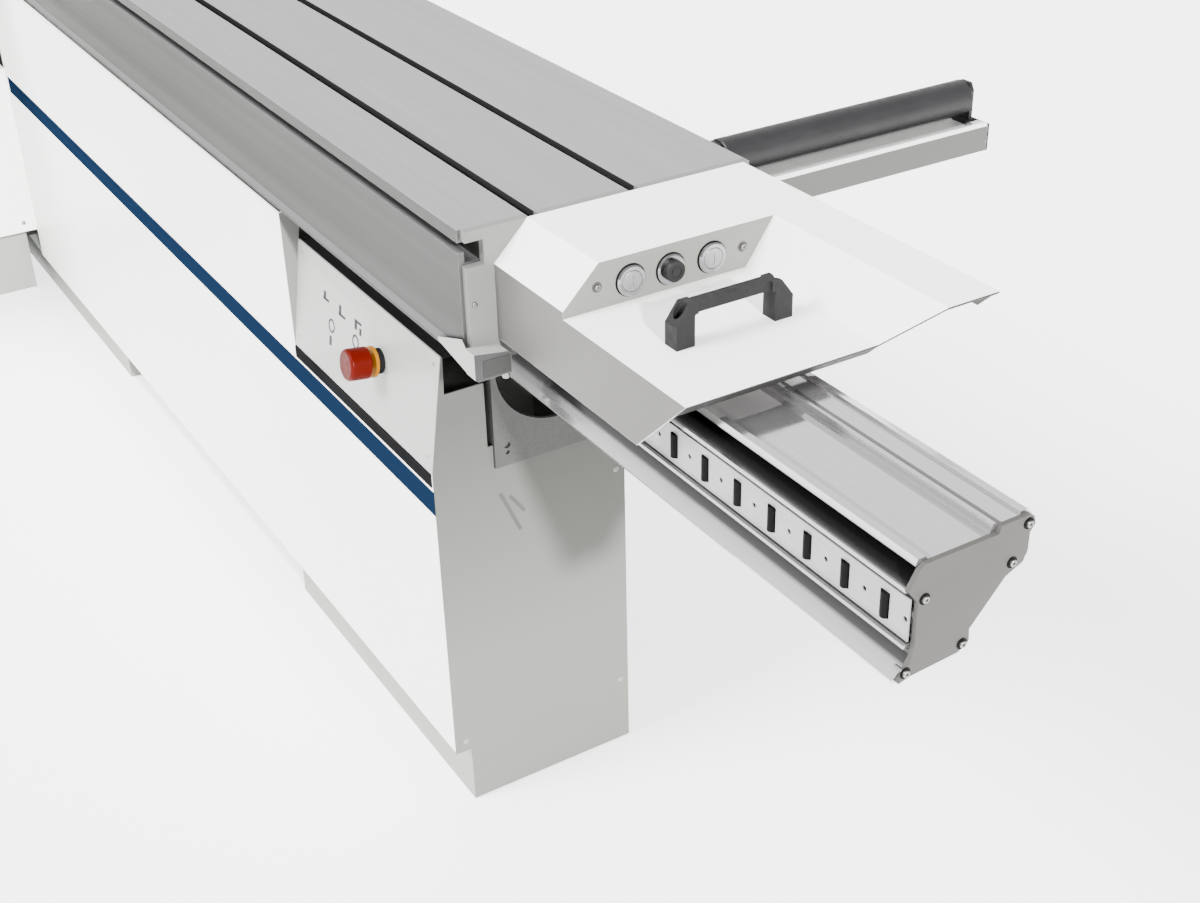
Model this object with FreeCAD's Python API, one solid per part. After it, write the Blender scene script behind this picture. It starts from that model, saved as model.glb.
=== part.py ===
"""Sliding-table panel saw, built as separate pieces.

X runs across the machine, positive to the outer side of the sliding carriage.
Y runs along the carriage, positive away from the operator's end.
Z is up, with the floor at zero. All lengths are millimetres.
The shapes are drawn with the carriage's near left edge at X = 0, Y = 0, and
every solid is moved at the end so that the whole saw is centred on the origin.
"""
import FreeCAD, Part
import math
import os

os.makedirs("parts", exist_ok=True)

V = FreeCAD.Vector

# ---- driving dimensions ------------------------------------------------------
TABLE_Z = 870.0            # working height of carriage and tables
SHEET = 2.0                # folded sheet-metal thickness

CARRIAGE_W = 360.0
CARRIAGE_L = 3200.0
CARRIAGE_Y0 = 10.0         # the profile starts behind its near end plate
END_PLATE_T = 10.0
WIPER_L = 20.0             # scraper block in front of each end plate
SLOT_MOUTH = 12.0          # T-slot mouth width
SLOT_WIDE = 24.0           # T-slot width under the lips
SLOT_XS = (85.0, 209.0)    # the two T-slots in the top
SIDE_SLOT_Z = 850.0        # the T-slot in the left face

BEAM_Y0 = -620.0
BEAM_Y1 = 3400.0
BEAM_BOTTOM_Z = 684.5
CAP_T = 5.0
RAIL_Z = (718.0, 757.0)    # hardened guide flats on the left
RAIL_R_Z = (755.0, 779.0)  # and on the right
ROLLER_LINE_X = 70.9       # centre line of the left guide rollers
ROLLER_PITCH = 51.0
CAGE_Y0 = -619.5
CAGE_ROLLERS = 61
CAGE_PHASE = 0.575         # first roller's place in its own pitch

BASE_X0 = 5.0              # painted side panel
BASE_X1 = 271.0            # outer side of the base
BASE_Y0 = 129.0            # near end cover
BASE_Y1 = 3190.0
PANEL_Y1 = 2070.0          # far end of the striped side panel
PANEL_Z0 = 90.0
PANEL_Z1 = 706.0
STRIPE_Z = (458.0, 491.0)
RECESS_Z0 = 515.0          # the control panel starts here and leans inwards
RECESS_Z1 = 665.0
RECESS_Y1 = 545.0
RECESS_LEAN = 22.0
ESTOP_STEM_R = 8.0
ESTOP_YZ = (284.0, 598.0)  # middle of the emergency stop on the leaning panel
SADDLE_X0 = 86.0           # left flange of the near bracket under the beam
PLINTH_X0 = 28.0
PLINTH_Z1 = 88.0
ANCHOR_XS = (80.0, 220.0)  # floor anchor holes in the plinth feet
ANCHOR_YS = (420.0, 3050.0)
ANCHOR_R = 7.0

HOOD_X0 = 36.0             # left wall of the control hood
HOOD_X1 = 352.0
HOOD_TOP_Y = -140.0        # near edge of the hood's flat top
HOOD_Y0 = -353.0           # near edge of the tray floor
TRAY_Z = 820.0
HOOD_WALL_Z0 = 742.0
TRAY_FOLD_X = 255.0        # the tray's outer side slopes up from here
STRIP_X = 290.0            # to the raised strip
BUTTON_XS = (114.5, 162.0, 212.0)
BUTTON_Z = 842.5
BEZEL_R = 16.5
BEZEL_BARREL_R = 13.0
BEZEL_BORE_R = 11.6
PLUNGER_R = 9.2
HANDLE_XS = (100.0, 214.5) # bridge handle, leg centres
HANDLE_Y = -249.0
HANDLE_LEG = (21.0, 20.0)  # width and depth of a leg
HANDLE_BAR = (14.0, 10.0)  # depth and thickness of the bar
HANDLE_H = 43.0

ARM_X1 = 755.0             # outer end of the outrigger
ARM_Y = (38.0, 98.0)
ARM_Z = (786.0, 822.0)
ROLLER_Y = 74.0
ROLLER_Z = 848.5
ROLLER_R = 21.5
ROLLER_X = (371.0, 741.0)

CAB_X0 = -700.0            # main cabinet
CAB_Y0 = 2070.0
CAB_Y1 = 3190.0
CAB_Z0 = 150.0
CAB_LEDGE_Z = 503.0
CAB_SETBACK = 40.0
CARRIAGE_CLEAR_X = -8.0    # nothing fixed stands nearer to the carriage than this
TABLE_X0 = -700.0
TABLE_X1 = -6.0
TABLE_Y = (2010.0, 3150.0)
TABLE_T = 40.0
EXT_X0 = -1090.0

BLADE_X = -175.0
BLADE_Y = 2560.0
BLADE_R = 157.5
BLADE_T = 3.2
ARBOR_Z = 792.5
ARBOR_R = 15.0
SCORE_Y = 2290.0
SCORE_R = 60.0
SCORE_Z = 812.0
MOTOR_X = -300.0
MOTOR_Y = 2700.0
MOTOR_Z = 520.0
MOTOR_R = 88.0
MOTOR_SHAFT_R = 14.0
SCORE_SHAFT_R = 10.0
SCORE_PULLEY_X = BLADE_X - 130.0
PULLEY_X = BLADE_X - 124.0
PULLEY_W = 20.0
SMALL_PULLEY_R = 36.0
LARGE_PULLEY_R = 52.0
WAY_X = BLADE_X - 122.0    # two upright ways that carry the lift
WAY_R = 11.0
WAY_YS = (2430.0, 2860.0)

RAIL_Y = 1965.0            # rip-fence bar in front of the tables
RAIL_BAR_Z = 836.0
RAIL_BAR_R = 20.0
FENCE_X = -520.0
LEVER_Y = RAIL_Y - 39.0    # pivot of the fence's locking lever
LEVER_Z = RAIL_BAR_Z - 8.0
LEVER_PIN_R = 3.0
CROSS_Y = 2200.0           # crosscut fence on the carriage
CROSS_X = (-120.0, 740.0)
CROSS_PIVOT_X = 300.0
PIVOT_R = 8.0

WHEEL_Y = 2068.0           # handwheels on the cabinet front
WHEEL_Z = 420.0
TILT_WHEEL_X = -300.0
LIFT_WHEEL_X = -520.0
WHEEL_R = 90.0

GUARD_Z = 886.0            # underside of the blade guard
POST_X = -620.0
POST_Y = 3110.0
ARM_TOP_Z = 1300.0

SCREW_HEAD = 3.0
EXTENT_X = (EXT_X0, ARM_X1 + 3.0)
EXTENT_Y = (BEAM_Y0 - CAP_T - SCREW_HEAD, BEAM_Y1 + CAP_T + SCREW_HEAD)
SHIFT = V(-sum(EXTENT_X) / 2, -sum(EXTENT_Y) / 2, 0)


# ---- small shape helpers -------------------------------------------------------
def box(x0, x1, y0, y1, z0, z1):
    return Part.makeBox(x1 - x0, y1 - y0, z1 - z0, V(x0, y0, z0))


def rod(centre, direction, radius, length):
    return Part.makeCylinder(radius, length, V(*centre), V(*direction))


def tube(centre, direction, outer, inner, length):
    return rod(centre, direction, outer, length).cut(rod(centre, direction, inner, length))


def prism(points, direction, fixed, length):
    """Extrude a closed outline: XZ outlines along Y, XY along Z, YZ along X."""
    place = {"x": lambda a, b: V(fixed, a, b), "y": lambda a, b: V(a, fixed, b),
             "z": lambda a, b: V(a, b, fixed)}[direction]
    vector = {"x": V(length, 0, 0), "y": V(0, length, 0), "z": V(0, 0, length)}[direction]
    corners = [place(a, b) for a, b in points]
    face = Part.Face(Part.makePolygon(corners + corners[:1]))
    return face.extrude(vector)


def join(shapes):
    result = shapes[0]
    for shape in shapes[1:]:
        result = result.fuse(shape)
    return result.removeSplitter()


def cut_all(shape, tools):
    for tool in tools:
        shape = shape.cut(tool)
    return shape


def group(shapes):
    return Part.makeCompound(shapes)


def save(name, shape):
    shape = shape.copy()
    shape.translate(SHIFT)
    solids = shape.Solids
    assert solids and all(s.isValid() for s in solids), name
    shape.exportStep("parts/%s.step" % name)
    print("%-26s solids %3d  volume %.0f cm3" % (name, len(solids), shape.Volume / 1000))


def screw(x, y, z, direction, radius=4.0, shank=8.0):
    """Pan-head screw whose head stands SCREW_HEAD off the face, shank inwards."""
    d = V(*direction)
    head = Part.makeCylinder(radius, SCREW_HEAD, V(x, y, z), d)
    head = head.makeFillet(0.9, [head.Edges[0], head.Edges[2]][:1])
    socket = Part.makeCylinder(radius * 0.45, SCREW_HEAD * 0.6, V(x, y, z) + d * (SCREW_HEAD * 0.5), d)
    body = head.cut(socket)
    if shank:
        body = body.fuse(Part.makeCylinder(radius * 0.5, shank, V(x, y, z), d * -1.0))
    return body


# ---- sliding carriage ------------------------------------------------------------
CARRIAGE_OUTLINE = [
    (-3, 721), (4, 719), (57, 716), (57, 800), (62, 806), (206, 806), (206, 745),
    (262, 745), (262, 780), (352, 780), (360, 788), (360, 870), (0, 870), (0, 733), (-3, 725)]


def t_slot(x, z, y0, length):
    mouth = box(x - SLOT_MOUTH / 2, x + SLOT_MOUTH / 2, y0, y0 + length, z - 8, z + 1)
    wide = box(x - SLOT_WIDE / 2, x + SLOT_WIDE / 2, y0, y0 + length, z - 18, z - 7)
    return mouth.fuse(wide)


def side_slot(y0, length):
    half = SLOT_MOUTH / 2
    mouth = box(-1, 8, y0, y0 + length, SIDE_SLOT_Z - half, SIDE_SLOT_Z + half)
    wide = box(7, 25, y0, y0 + length, SIDE_SLOT_Z - 18, SIDE_SLOT_Z + 10)
    return mouth.fuse(wide)


def carriage_profile():
    body = prism(CARRIAGE_OUTLINE, "y", CARRIAGE_Y0, CARRIAGE_L)
    chambers = [(5, 52, 725, 824), (58, 98, 811, 846), (102, 148, 811, 846), (152, 202, 811, 846),
                (212, 257, 751, 806), (206, 257, 811, 846), (264, 355, 786, 865), (226, 260, 851, 865),
                (102, 192, 851, 865), (30, 68, 851, 865)]
    tools = [box(x0, x1, CARRIAGE_Y0, CARRIAGE_Y0 + CARRIAGE_L, z0, z1) for x0, x1, z0, z1 in chambers]
    tools += [t_slot(x, TABLE_Z, CARRIAGE_Y0, CARRIAGE_L) for x in SLOT_XS]
    tools.append(side_slot(CARRIAGE_Y0, CARRIAGE_L))
    return cut_all(body, tools)


def carriage_end_plates():
    plates = []
    for y0 in (CARRIAGE_Y0 - END_PLATE_T, CARRIAGE_Y0 + CARRIAGE_L):
        outline = [(4, 742), (4, 720), (57, 717), (57, 806), (206, 806), (206, 745), (262, 745),
                   (262, 780), (352, 780), (360, 788), (360, 870), (4, 870)]
        plate = prism(outline, "y", y0, END_PLATE_T)
        notch = box(-1, 25, y0 - 1, y0 + END_PLATE_T + 1, 830, 858)
        plates.append(cut_all(plate, [notch] + [t_slot(x, TABLE_Z, y0, END_PLATE_T) for x in SLOT_XS]))
    return group(plates)


def carriage_guide_rails():
    left = box(57, ROLLER_LINE_X - 4.7, CARRIAGE_Y0, CARRIAGE_Y0 + CARRIAGE_L, *RAIL_Z)
    right = box(199.6, 206, CARRIAGE_Y0, CARRIAGE_Y0 + CARRIAGE_L, *RAIL_R_Z)
    return group([left, right])


def carriage_wipers():
    """Scraper blocks that stand off both end plates at the foot of the profile."""
    near = CARRIAGE_Y0 - END_PLATE_T
    far = CARRIAGE_Y0 + CARRIAGE_L + END_PLATE_T
    blocks = []
    for y0, y1 in ((near - WIPER_L, near), (far, far + WIPER_L)):
        blocks.append(prism([(0, 708), (40, 709), (40, 731), (36, 735), (-4, 741), (-4, 711)], "y", y0, y1 - y0))
    wing = [(near - 1, 740), (near - 1, 712), (near + 65, 724), (near + 65, 728), (near + 8, 748)]
    blocks[0] = join([blocks[0], prism(wing, "x", -4, 0.9)])
    for y0 in (near - 6, far):
        blocks.append(box(208, 260, y0, y0 + 6, 747, 778))
    return group(blocks)


def end_plate_screws():
    near = CARRIAGE_Y0 - END_PLATE_T
    return group([screw(x, near, z, (0, -1, 0), 3.0, 6) for x, z in ((10.5, 788.0), (230.0, 790.0))])


# ---- control hood on the carriage's near end ------------------------------------------
def hood_near_y(z):
    """The hood's near end is cut by one plane that leans out at the top."""
    return HOOD_Y0 - (z - TRAY_Z) * 1.05


def folded_outline(points, thickness):
    """Closed outline of a folded sheet whose outer line is points, with mitred folds."""
    normals = []
    for (x0, z0), (x1, z1) in zip(points, points[1:]):
        length = math.hypot(x1 - x0, z1 - z0)
        normals.append(((z1 - z0) / length, -(x1 - x0) / length))
    inner = []
    for index, (x, z) in enumerate(points):
        before = normals[max(index - 1, 0)]
        after = normals[min(index, len(normals) - 1)]
        reach = thickness / (1 + before[0] * after[0] + before[1] * after[1])
        inner.append((x + (before[0] + after[0]) * reach, z + (before[1] + after[1]) * reach))
    return list(points) + inner[::-1]


def control_hood():
    """Sheet-metal hood: flat top over a button face, and a tray with a sloping outer side."""
    chamfer = 42.0
    rear = [(HOOD_X0, HOOD_WALL_Z0), (HOOD_X0, TABLE_Z - chamfer), (HOOD_X0 + chamfer, TABLE_Z),
            (HOOD_X1, TABLE_Z), (HOOD_X1, 792)]
    tray = [(HOOD_X0, HOOD_WALL_Z0), (HOOD_X0, TRAY_Z), (TRAY_FOLD_X, TRAY_Z), (STRIP_X, TABLE_Z),
            (HOOD_X1, TABLE_Z), (HOOD_X1, 846)]
    shell = prism(folded_outline(rear, SHEET), "y", HOOD_TOP_Y, -HOOD_TOP_Y)
    floor = prism(folded_outline(tray, SHEET), "y", -450, HOOD_TOP_Y + 450)
    face = [(HOOD_X0, TRAY_Z - SHEET), (HOOD_X0, TABLE_Z - chamfer), (HOOD_X0 + chamfer, TABLE_Z),
            (STRIP_X + 3, TABLE_Z), (TRAY_FOLD_X + 3, TRAY_Z), (TRAY_FOLD_X + 3, TRAY_Z - SHEET)]
    button_face = prism(face, "y", HOOD_TOP_Y, SHEET)
    button_face = cut_all(button_face, [rod((x, HOOD_TOP_Y - 1, BUTTON_Z), (0, 1, 0), BEZEL_BARREL_R, 4)
                                        for x in BUTTON_XS])
    back_face = [(HOOD_X0, 824), (HOOD_X0, TABLE_Z - chamfer), (HOOD_X0 + chamfer, TABLE_Z),
                 (HOOD_X1, TABLE_Z), (HOOD_X1, 824)]
    back = prism(back_face, "y", -SHEET, SHEET)
    apron = box(HOOD_X0, TRAY_FOLD_X, -450, HOOD_Y0 + 60, TRAY_Z - 15, TRAY_Z)
    hood = join([shell, floor, button_face, back, apron])
    near_cut = prism([(-500, 700), (hood_near_y(700), 700), (hood_near_y(900), 900), (-500, 900)], "x", 0, 400)
    lip_room = prism([(hood_near_y(720) + SHEET, 720), (hood_near_y(818) + SHEET, 818), (-200, 818),
                      (-200, 720)], "x", HOOD_X0 + SHEET, TRAY_FOLD_X - HOOD_X0)
    return cut_all(hood, [near_cut, lip_room])


def button_bezels():
    rings = []
    for x in BUTTON_XS:
        flange = tube((x, HOOD_TOP_Y, BUTTON_Z), (0, -1, 0), BEZEL_R, BEZEL_BORE_R, 4.0)
        flange = flange.makeChamfer(1.4, [e for e in flange.Edges
                                          if e.Length > 95 and e.BoundBox.YMax < HOOD_TOP_Y - 3.9])
        barrel = tube((x, HOOD_TOP_Y, BUTTON_Z), (0, 1, 0), BEZEL_BARREL_R, BEZEL_BORE_R, 26.0)
        guide = tube((x, HOOD_TOP_Y + 20, BUTTON_Z), (0, 1, 0), BEZEL_BARREL_R, PLUNGER_R + 0.05, 6.0)
        rings.append(join([flange, barrel, guide]))
    return group(rings)


def push_button(x, proud, bar):
    """Cap in the bezel, its plunger behind it, and its bar or ring mark."""
    tip = HOOD_TOP_Y - proud
    cap = rod((x, tip, BUTTON_Z), (0, 1, 0), BEZEL_BORE_R - 0.35, proud + 8)
    edge = [e for e in cap.Edges if e.BoundBox.YMax < tip + 0.1 and e.Length > 60]
    cap = cap.makeFillet(1.2, edge[:1])
    if bar:
        cap = cap.cut(box(x - 1.3, x + 1.3, tip - 1, tip + 0.6, BUTTON_Z - 5.5, BUTTON_Z + 5.5))
    else:
        cap = cap.cut(tube((x, tip - 1, BUTTON_Z), (0, 1, 0), 6.6, 4.6, 1.6))
    plunger = rod((x, HOOD_TOP_Y, BUTTON_Z), (0, 1, 0), PLUNGER_R, 28.0)
    return join([cap, plunger])


def hood_screws():
    screws = [screw(x, HOOD_TOP_Y, BUTTON_Z + 2, (0, -1, 0), 3.2, 10) for x in (75.5, 250.5)]
    return group(screws)


def bridge_handle():
    """Angular moulded bridge handle: two legs with sloping shoulders and a narrower bar."""
    half = HANDLE_LEG[0] / 2
    x0, x1 = HANDLE_XS[0] - half, HANDLE_XS[1] + half
    top = TRAY_Z + HANDLE_H
    under = top - HANDLE_BAR[1]
    outline = [(x0, TRAY_Z), (x0 + 2 * half, TRAY_Z), (x0 + 2 * half, under), (x1 - 2 * half, under),
               (x1 - 2 * half, TRAY_Z), (x1, TRAY_Z), (x1, TRAY_Z + 24), (x1 - 14, top), (x0 + 14, top),
               (x0, TRAY_Z + 24)]
    depth = HANDLE_LEG[1]
    body = prism(outline, "y", HANDLE_Y - depth / 2, depth)
    waist = (depth - HANDLE_BAR[0]) / 2
    for y in (HANDLE_Y - depth / 2 - 1, HANDLE_Y + HANDLE_BAR[0] / 2):
        body = body.cut(box(x0 + 2 * half + 4, x1 - 2 * half - 4, y, y + waist + 1, under - 1, top + 1))
    across = [e for e in body.Edges if e.BoundBox.YLength > depth - 1 and e.BoundBox.ZMin > TRAY_Z + 1]
    body = body.makeFillet(2.0, across)
    wells = [rod((x, HANDLE_Y, TRAY_Z - 1), (0, 0, 1), 3.4, 60) for x in HANDLE_XS]
    wells += [rod((x, HANDLE_Y, TRAY_Z + 14), (0, 0, 1), 6.6, 60) for x in HANDLE_XS]
    return cut_all(body, wells)


def handle_screws():
    screws = []
    for x in HANDLE_XS:
        head = rod((x, HANDLE_Y, TRAY_Z + 14), (0, 0, 1), 6.0, 6.0)
        head = head.cut(rod((x, HANDLE_Y, TRAY_Z + 17), (0, 0, 1), 2.6, 4.0))
        screws.append(head.fuse(rod((x, HANDLE_Y, TRAY_Z - 6), (0, 0, 1), 3.0, 20.5)))
    return group(screws)


# ---- outrigger with its idle roller ------------------------------------------------------
def outrigger_profile():
    y0, y1 = ARM_Y
    z0, z1 = ARM_Z
    outline = [(y0, z0), (y1, z0), (y1, z1), (y1 - 6, z1), (y1 - 8, z1 - 7), (y0 + 22, z1 - 7),
               (y0 + 19, z1 - 2), (y0 + 3, z1), (y0, z1 - 4)]
    body = prism(outline, "x", CARRIAGE_W, ARM_X1 - CARRIAGE_W)
    hollow = box(CARRIAGE_W + 6, ARM_X1 - 4, y0 + 4, y1 - 4, z0 + 4, z1 - 12)
    return body.cut(hollow)


def outrigger_end_cap():
    y0, y1 = ARM_Y
    return box(ARM_X1, ARM_X1 + 3, y0, y1, ARM_Z[0], ARM_Z[1] - 2)


def roller_brackets():
    plates = []
    top = ROLLER_Z + 19
    for x in (ROLLER_X[0] - 8, ROLLER_X[1] + 3):
        outline = [(ROLLER_Y - 13, ARM_Z[1] - 7), (ROLLER_Y + 13, ARM_Z[1] - 7), (ROLLER_Y + 13, top - 9),
                   (ROLLER_Y + 8, top), (ROLLER_Y - 8, top), (ROLLER_Y - 13, top - 9)]
        plate = prism(outline, "x", x, 5)
        foot = box(x - 3, x + 8, ROLLER_Y - 13, ROLLER_Y + 13, ARM_Z[1] - 7, ARM_Z[1] - 1)
        plates.append(join([plate, foot]).cut(rod((x - 4, ROLLER_Y, ROLLER_Z), (1, 0, 0), 4.0, 14)))
    return group(plates)


def roller_axle():
    return rod((ROLLER_X[0] - 9, ROLLER_Y, ROLLER_Z), (1, 0, 0), 4.0, ROLLER_X[1] - ROLLER_X[0] + 18)


def outrigger_roller():
    length = ROLLER_X[1] - ROLLER_X[0]
    body = rod((ROLLER_X[0], ROLLER_Y, ROLLER_Z), (1, 0, 0), ROLLER_R, length)
    body = body.makeChamfer(1.5, [e for e in body.Edges if e.Length > 120 and len(e.Vertexes) == 1])
    bore = rod((ROLLER_X[0] - 1, ROLLER_Y, ROLLER_Z), (1, 0, 0), 4.05, length + 2)
    hollow = tube((ROLLER_X[0] + 14, ROLLER_Y, ROLLER_Z), (1, 0, 0), ROLLER_R - 3, 8.0, length - 28)
    return cut_all(body, [bore, hollow])


# ---- crosscut fence on the carriage -----------------------------------------------------
def fence_pivot_block():
    base = box(CROSS_PIVOT_X - 34, CROSS_PIVOT_X + 34, CROSS_Y - 60, CROSS_Y + 34, TABLE_Z, TABLE_Z + 11.5)
    return base.fuse(rod((CROSS_PIVOT_X, CROSS_Y, TABLE_Z), (0, 0, 1), PIVOT_R, 16.5))


def crosscut_fence():
    z0 = TABLE_Z + 12
    outline = [(CROSS_Y - 22, z0), (CROSS_Y + 22, z0), (CROSS_Y + 22, z0 + 46), (CROSS_Y + 10, z0 + 58),
               (CROSS_Y - 22, z0 + 58)]
    x0, x1 = CROSS_X
    body = prism(outline, "x", x0, x1 - x0)
    hollow = box(x0 + 6, x1 - 6, CROSS_Y - 17, CROSS_Y + 9, z0 + 5, z0 + 40)
    slot = box(x0 - 1, x1 + 1, CROSS_Y + 14, CROSS_Y + 23, z0 + 16, z0 + 28)
    socket = rod((CROSS_PIVOT_X, CROSS_Y, z0 - 1), (0, 0, 1), PIVOT_R + 0.05, 8)
    return cut_all(body, [hollow, slot, socket])


def flip_stop():
    z0 = TABLE_Z + 12
    x0 = 420.0
    clamp = prism([(CROSS_Y - 23, z0 + 58.5), (CROSS_Y + 12, z0 + 58.5), (CROSS_Y + 12, z0 + 76),
                   (CROSS_Y - 40, z0 + 76), (CROSS_Y - 40, z0 + 6), (CROSS_Y - 23, z0 + 6)], "x", x0, 40)
    return clamp


# ---- fixed beam and roller cage -----------------------------------------------------------
BEAM_OUTLINE = [
    (57, 683), (58, 680), (61, 680), (66, 684.5), (123, 684.5), (130, 689), (133, 696), (133, 709),
    (168, 749), (172, 750), (186, 755), (186, 781), (192, 785), (195, 789), (195, 797), (190, 802),
    (182, 803), (181, 800), (161, 800), (160, 797), (157, 797), (155, 801), (152, 801), (149, 792),
    (85, 792), (82, 796), (74, 796), (72, 790), (90, 787), (90, 777), (63, 772), (63, 768),
    (73, 764), (78, 760), (78, 716), (66, 715), (66, 711.5), (77, 708), (76, 701), (70, 694), (62, 688)]

BEAM_CHAMBERS = [
    [(82, 689), (119, 689), (119, 787), (94, 787), (94, 773), (82, 771)],
    [(123, 691), (127, 693), (129, 698), (129, 711), (165, 752), (182, 759), (182, 786), (123, 786)]]


def fixed_beam():
    body = prism(BEAM_OUTLINE, "y", BEAM_Y0, BEAM_Y1 - BEAM_Y0)
    return cut_all(body, [prism(p, "y", BEAM_Y0, BEAM_Y1 - BEAM_Y0) for p in BEAM_CHAMBERS])


CAP_OUTLINE = [
    (60, 682), (72, 685), (122, 688), (129, 691), (134, 696), (133, 708), (168, 747), (186, 755),
    (190, 766), (190, 782), (195, 789), (193, 797), (188, 800), (157, 800), (155, 793), (79, 793),
    (73, 789), (63, 772), (69, 764), (74, 757), (74, 718), (72, 703), (68, 696)]


def beam_end_caps():
    return group([prism(CAP_OUTLINE, "y", y0, CAP_T) for y0 in (BEAM_Y0 - CAP_T, BEAM_Y1)])


CAP_SCREWS = ((187, 792), (173, 759), (126, 696), (80, 759), (66, 691))


def beam_cap_screws():
    near = [screw(x, BEAM_Y0 - CAP_T, z, (0, -1, 0), 3.4, 12) for x, z in CAP_SCREWS]
    far = [screw(x, BEAM_Y1 + CAP_T, z, (0, 1, 0), 3.4, 12) for x, z in CAP_SCREWS]
    return group(near + far)


def beam_guide_rails():
    left = box(ROLLER_LINE_X + 4.7, 78, BEAM_Y0, BEAM_Y1, *RAIL_Z)
    right = box(186, 190.4, BEAM_Y0, BEAM_Y1, *RAIL_R_Z)
    return group([left, right])


def roller_cage_strips():
    length = CAGE_ROLLERS * ROLLER_PITCH
    left = box(ROLLER_LINE_X - 0.8, ROLLER_LINE_X + 0.8, CAGE_Y0, CAGE_Y0 + length, 717, 758)
    right = box(194, 196, CAGE_Y0, CAGE_Y0 + length, 755.5, 778.5)
    tools = []
    for index in range(CAGE_ROLLERS):
        y = CAGE_Y0 + ROLLER_PITCH * (index + CAGE_PHASE)
        tools.append(box(60, 80, y - 6, y + 6, 724.5, 750.5))
        tools.append(rod((60, y - ROLLER_PITCH / 2, 737.5), (1, 0, 0), 2.6, 20))
        tools.append(box(190, 200, y - 6.5, y + 6.5, 759, 775))
    return group([left.cut(Part.makeCompound(tools)), right.cut(Part.makeCompound(tools))])


def cage_rollers():
    rollers = []
    for index in range(CAGE_ROLLERS):
        y = CAGE_Y0 + ROLLER_PITCH * (index + CAGE_PHASE)
        rollers.append(rod((ROLLER_LINE_X, y, 725), (0, 0, 1), 4.4, 25))
        rollers.append(rod((195, y, 759.5), (0, 0, 1), 4.2, 15))
    return group(rollers)


# ---- narrow base under the beam --------------------------------------------------------------
def lean_x(z):
    return BASE_X0 + (z - RECESS_Z0) / (RECESS_Z1 - RECESS_Z0) * RECESS_LEAN


def side_panel():
    sheet = box(BASE_X0, BASE_X0 + SHEET, BASE_Y0 + 2, PANEL_Y1, PANEL_Z0, PANEL_Z1)
    recess = box(0, 20, BASE_Y0, RECESS_Y1, RECESS_Z0, PANEL_Z1 + 1)
    bottom = box(BASE_X0, BASE_X0 + 20, BASE_Y0 + 2, PANEL_Y1, PANEL_Z0, PANEL_Z0 + SHEET)
    step = prism([(BASE_X0, RECESS_Z0), (BASE_X0, PANEL_Z1), (BASE_X0 + 30, PANEL_Z1),
                  (lean_x(RECESS_Z1) + 1, RECESS_Z1)], "y", RECESS_Y1, SHEET)
    return join([sheet.cut(recess), bottom, step])


def side_stripe():
    return box(BASE_X0 - 0.6, BASE_X0, BASE_Y0 + 1, PANEL_Y1 - 18, *STRIPE_Z)


def control_panel():
    foot = RECESS_Z0 + 1
    outline = [(lean_x(foot), foot), (lean_x(foot) + SHEET, foot),
               (lean_x(RECESS_Z1) + SHEET, RECESS_Z1), (lean_x(RECESS_Z1), RECESS_Z1)]
    plate = prism(outline, "y", BASE_Y0 + 2, RECESS_Y1 - BASE_Y0 - 2.5)
    return plate.cut(estop_hole())


def estop_axis():
    """Point on the panel and outward unit vector, square to the leaning panel."""
    y = ESTOP_YZ[0]
    z = ESTOP_YZ[1]
    run = math.hypot(RECESS_LEAN, RECESS_Z1 - RECESS_Z0)
    outward = V(-(RECESS_Z1 - RECESS_Z0) / run, 0, RECESS_LEAN / run)
    return V(lean_x(z), y, z), outward


def estop_hole():
    point, outward = estop_axis()
    return Part.makeCylinder(11.2, 20, point - outward * 10, outward)


def estop_collar():
    point, outward = estop_axis()
    ring = Part.makeCylinder(16, 9, point, outward)
    barrel = Part.makeCylinder(11, 30, point - outward * 30, outward)
    return join([ring, barrel]).cut(Part.makeCylinder(ESTOP_STEM_R + 0.05, 60, point - outward * 40, outward))


def estop_yellow_ring():
    point, outward = estop_axis()
    ring = Part.makeCylinder(19.5, 4, point + outward * 9, outward)
    return ring.cut(Part.makeCylinder(ESTOP_STEM_R + 0.5, 10, point + outward * 5, outward))


def estop_button():
    point, outward = estop_axis()
    start = point + outward * 19
    head = Part.makeCylinder(20, 27, start, outward)
    rim = [e for e in head.Edges if e.Length > 120 and len(e.Vertexes) == 1
           and (e.BoundBox.Center - start).dot(outward) > 20]
    head = head.makeFillet(4.0, rim)
    stem = Part.makeCylinder(ESTOP_STEM_R, 45, point - outward * 23, outward)
    return join([head, stem])


def ledge_seal():
    """Dark strip along the foot of the control panel."""
    z0 = STRIPE_Z[1] + 6
    return prism([(BASE_X0 - 1.6, z0), (BASE_X0 - 0.1, z0), (BASE_X0 - 0.1, RECESS_Z0 + 0.5),
                  (BASE_X0 - 1.6, RECESS_Z0 - 3)], "y", BASE_Y0 + 4, RECESS_Y1 - BASE_Y0 - 6)


def brush_seal():
    """Dark angle behind the open slot between the control panel and the carriage."""
    x0 = lean_x(RECESS_Z1) + SHEET
    outline = [(x0, RECESS_Z1 - 4), (46, RECESS_Z1 - 4), (46, PANEL_Z1 - 2), (44, PANEL_Z1 - 2),
               (44, RECESS_Z1 - 2), (x0, RECESS_Z1 - 2)]
    return prism(outline, "y", BASE_Y0 + 4, RECESS_Y1 - BASE_Y0 - 6)


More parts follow.
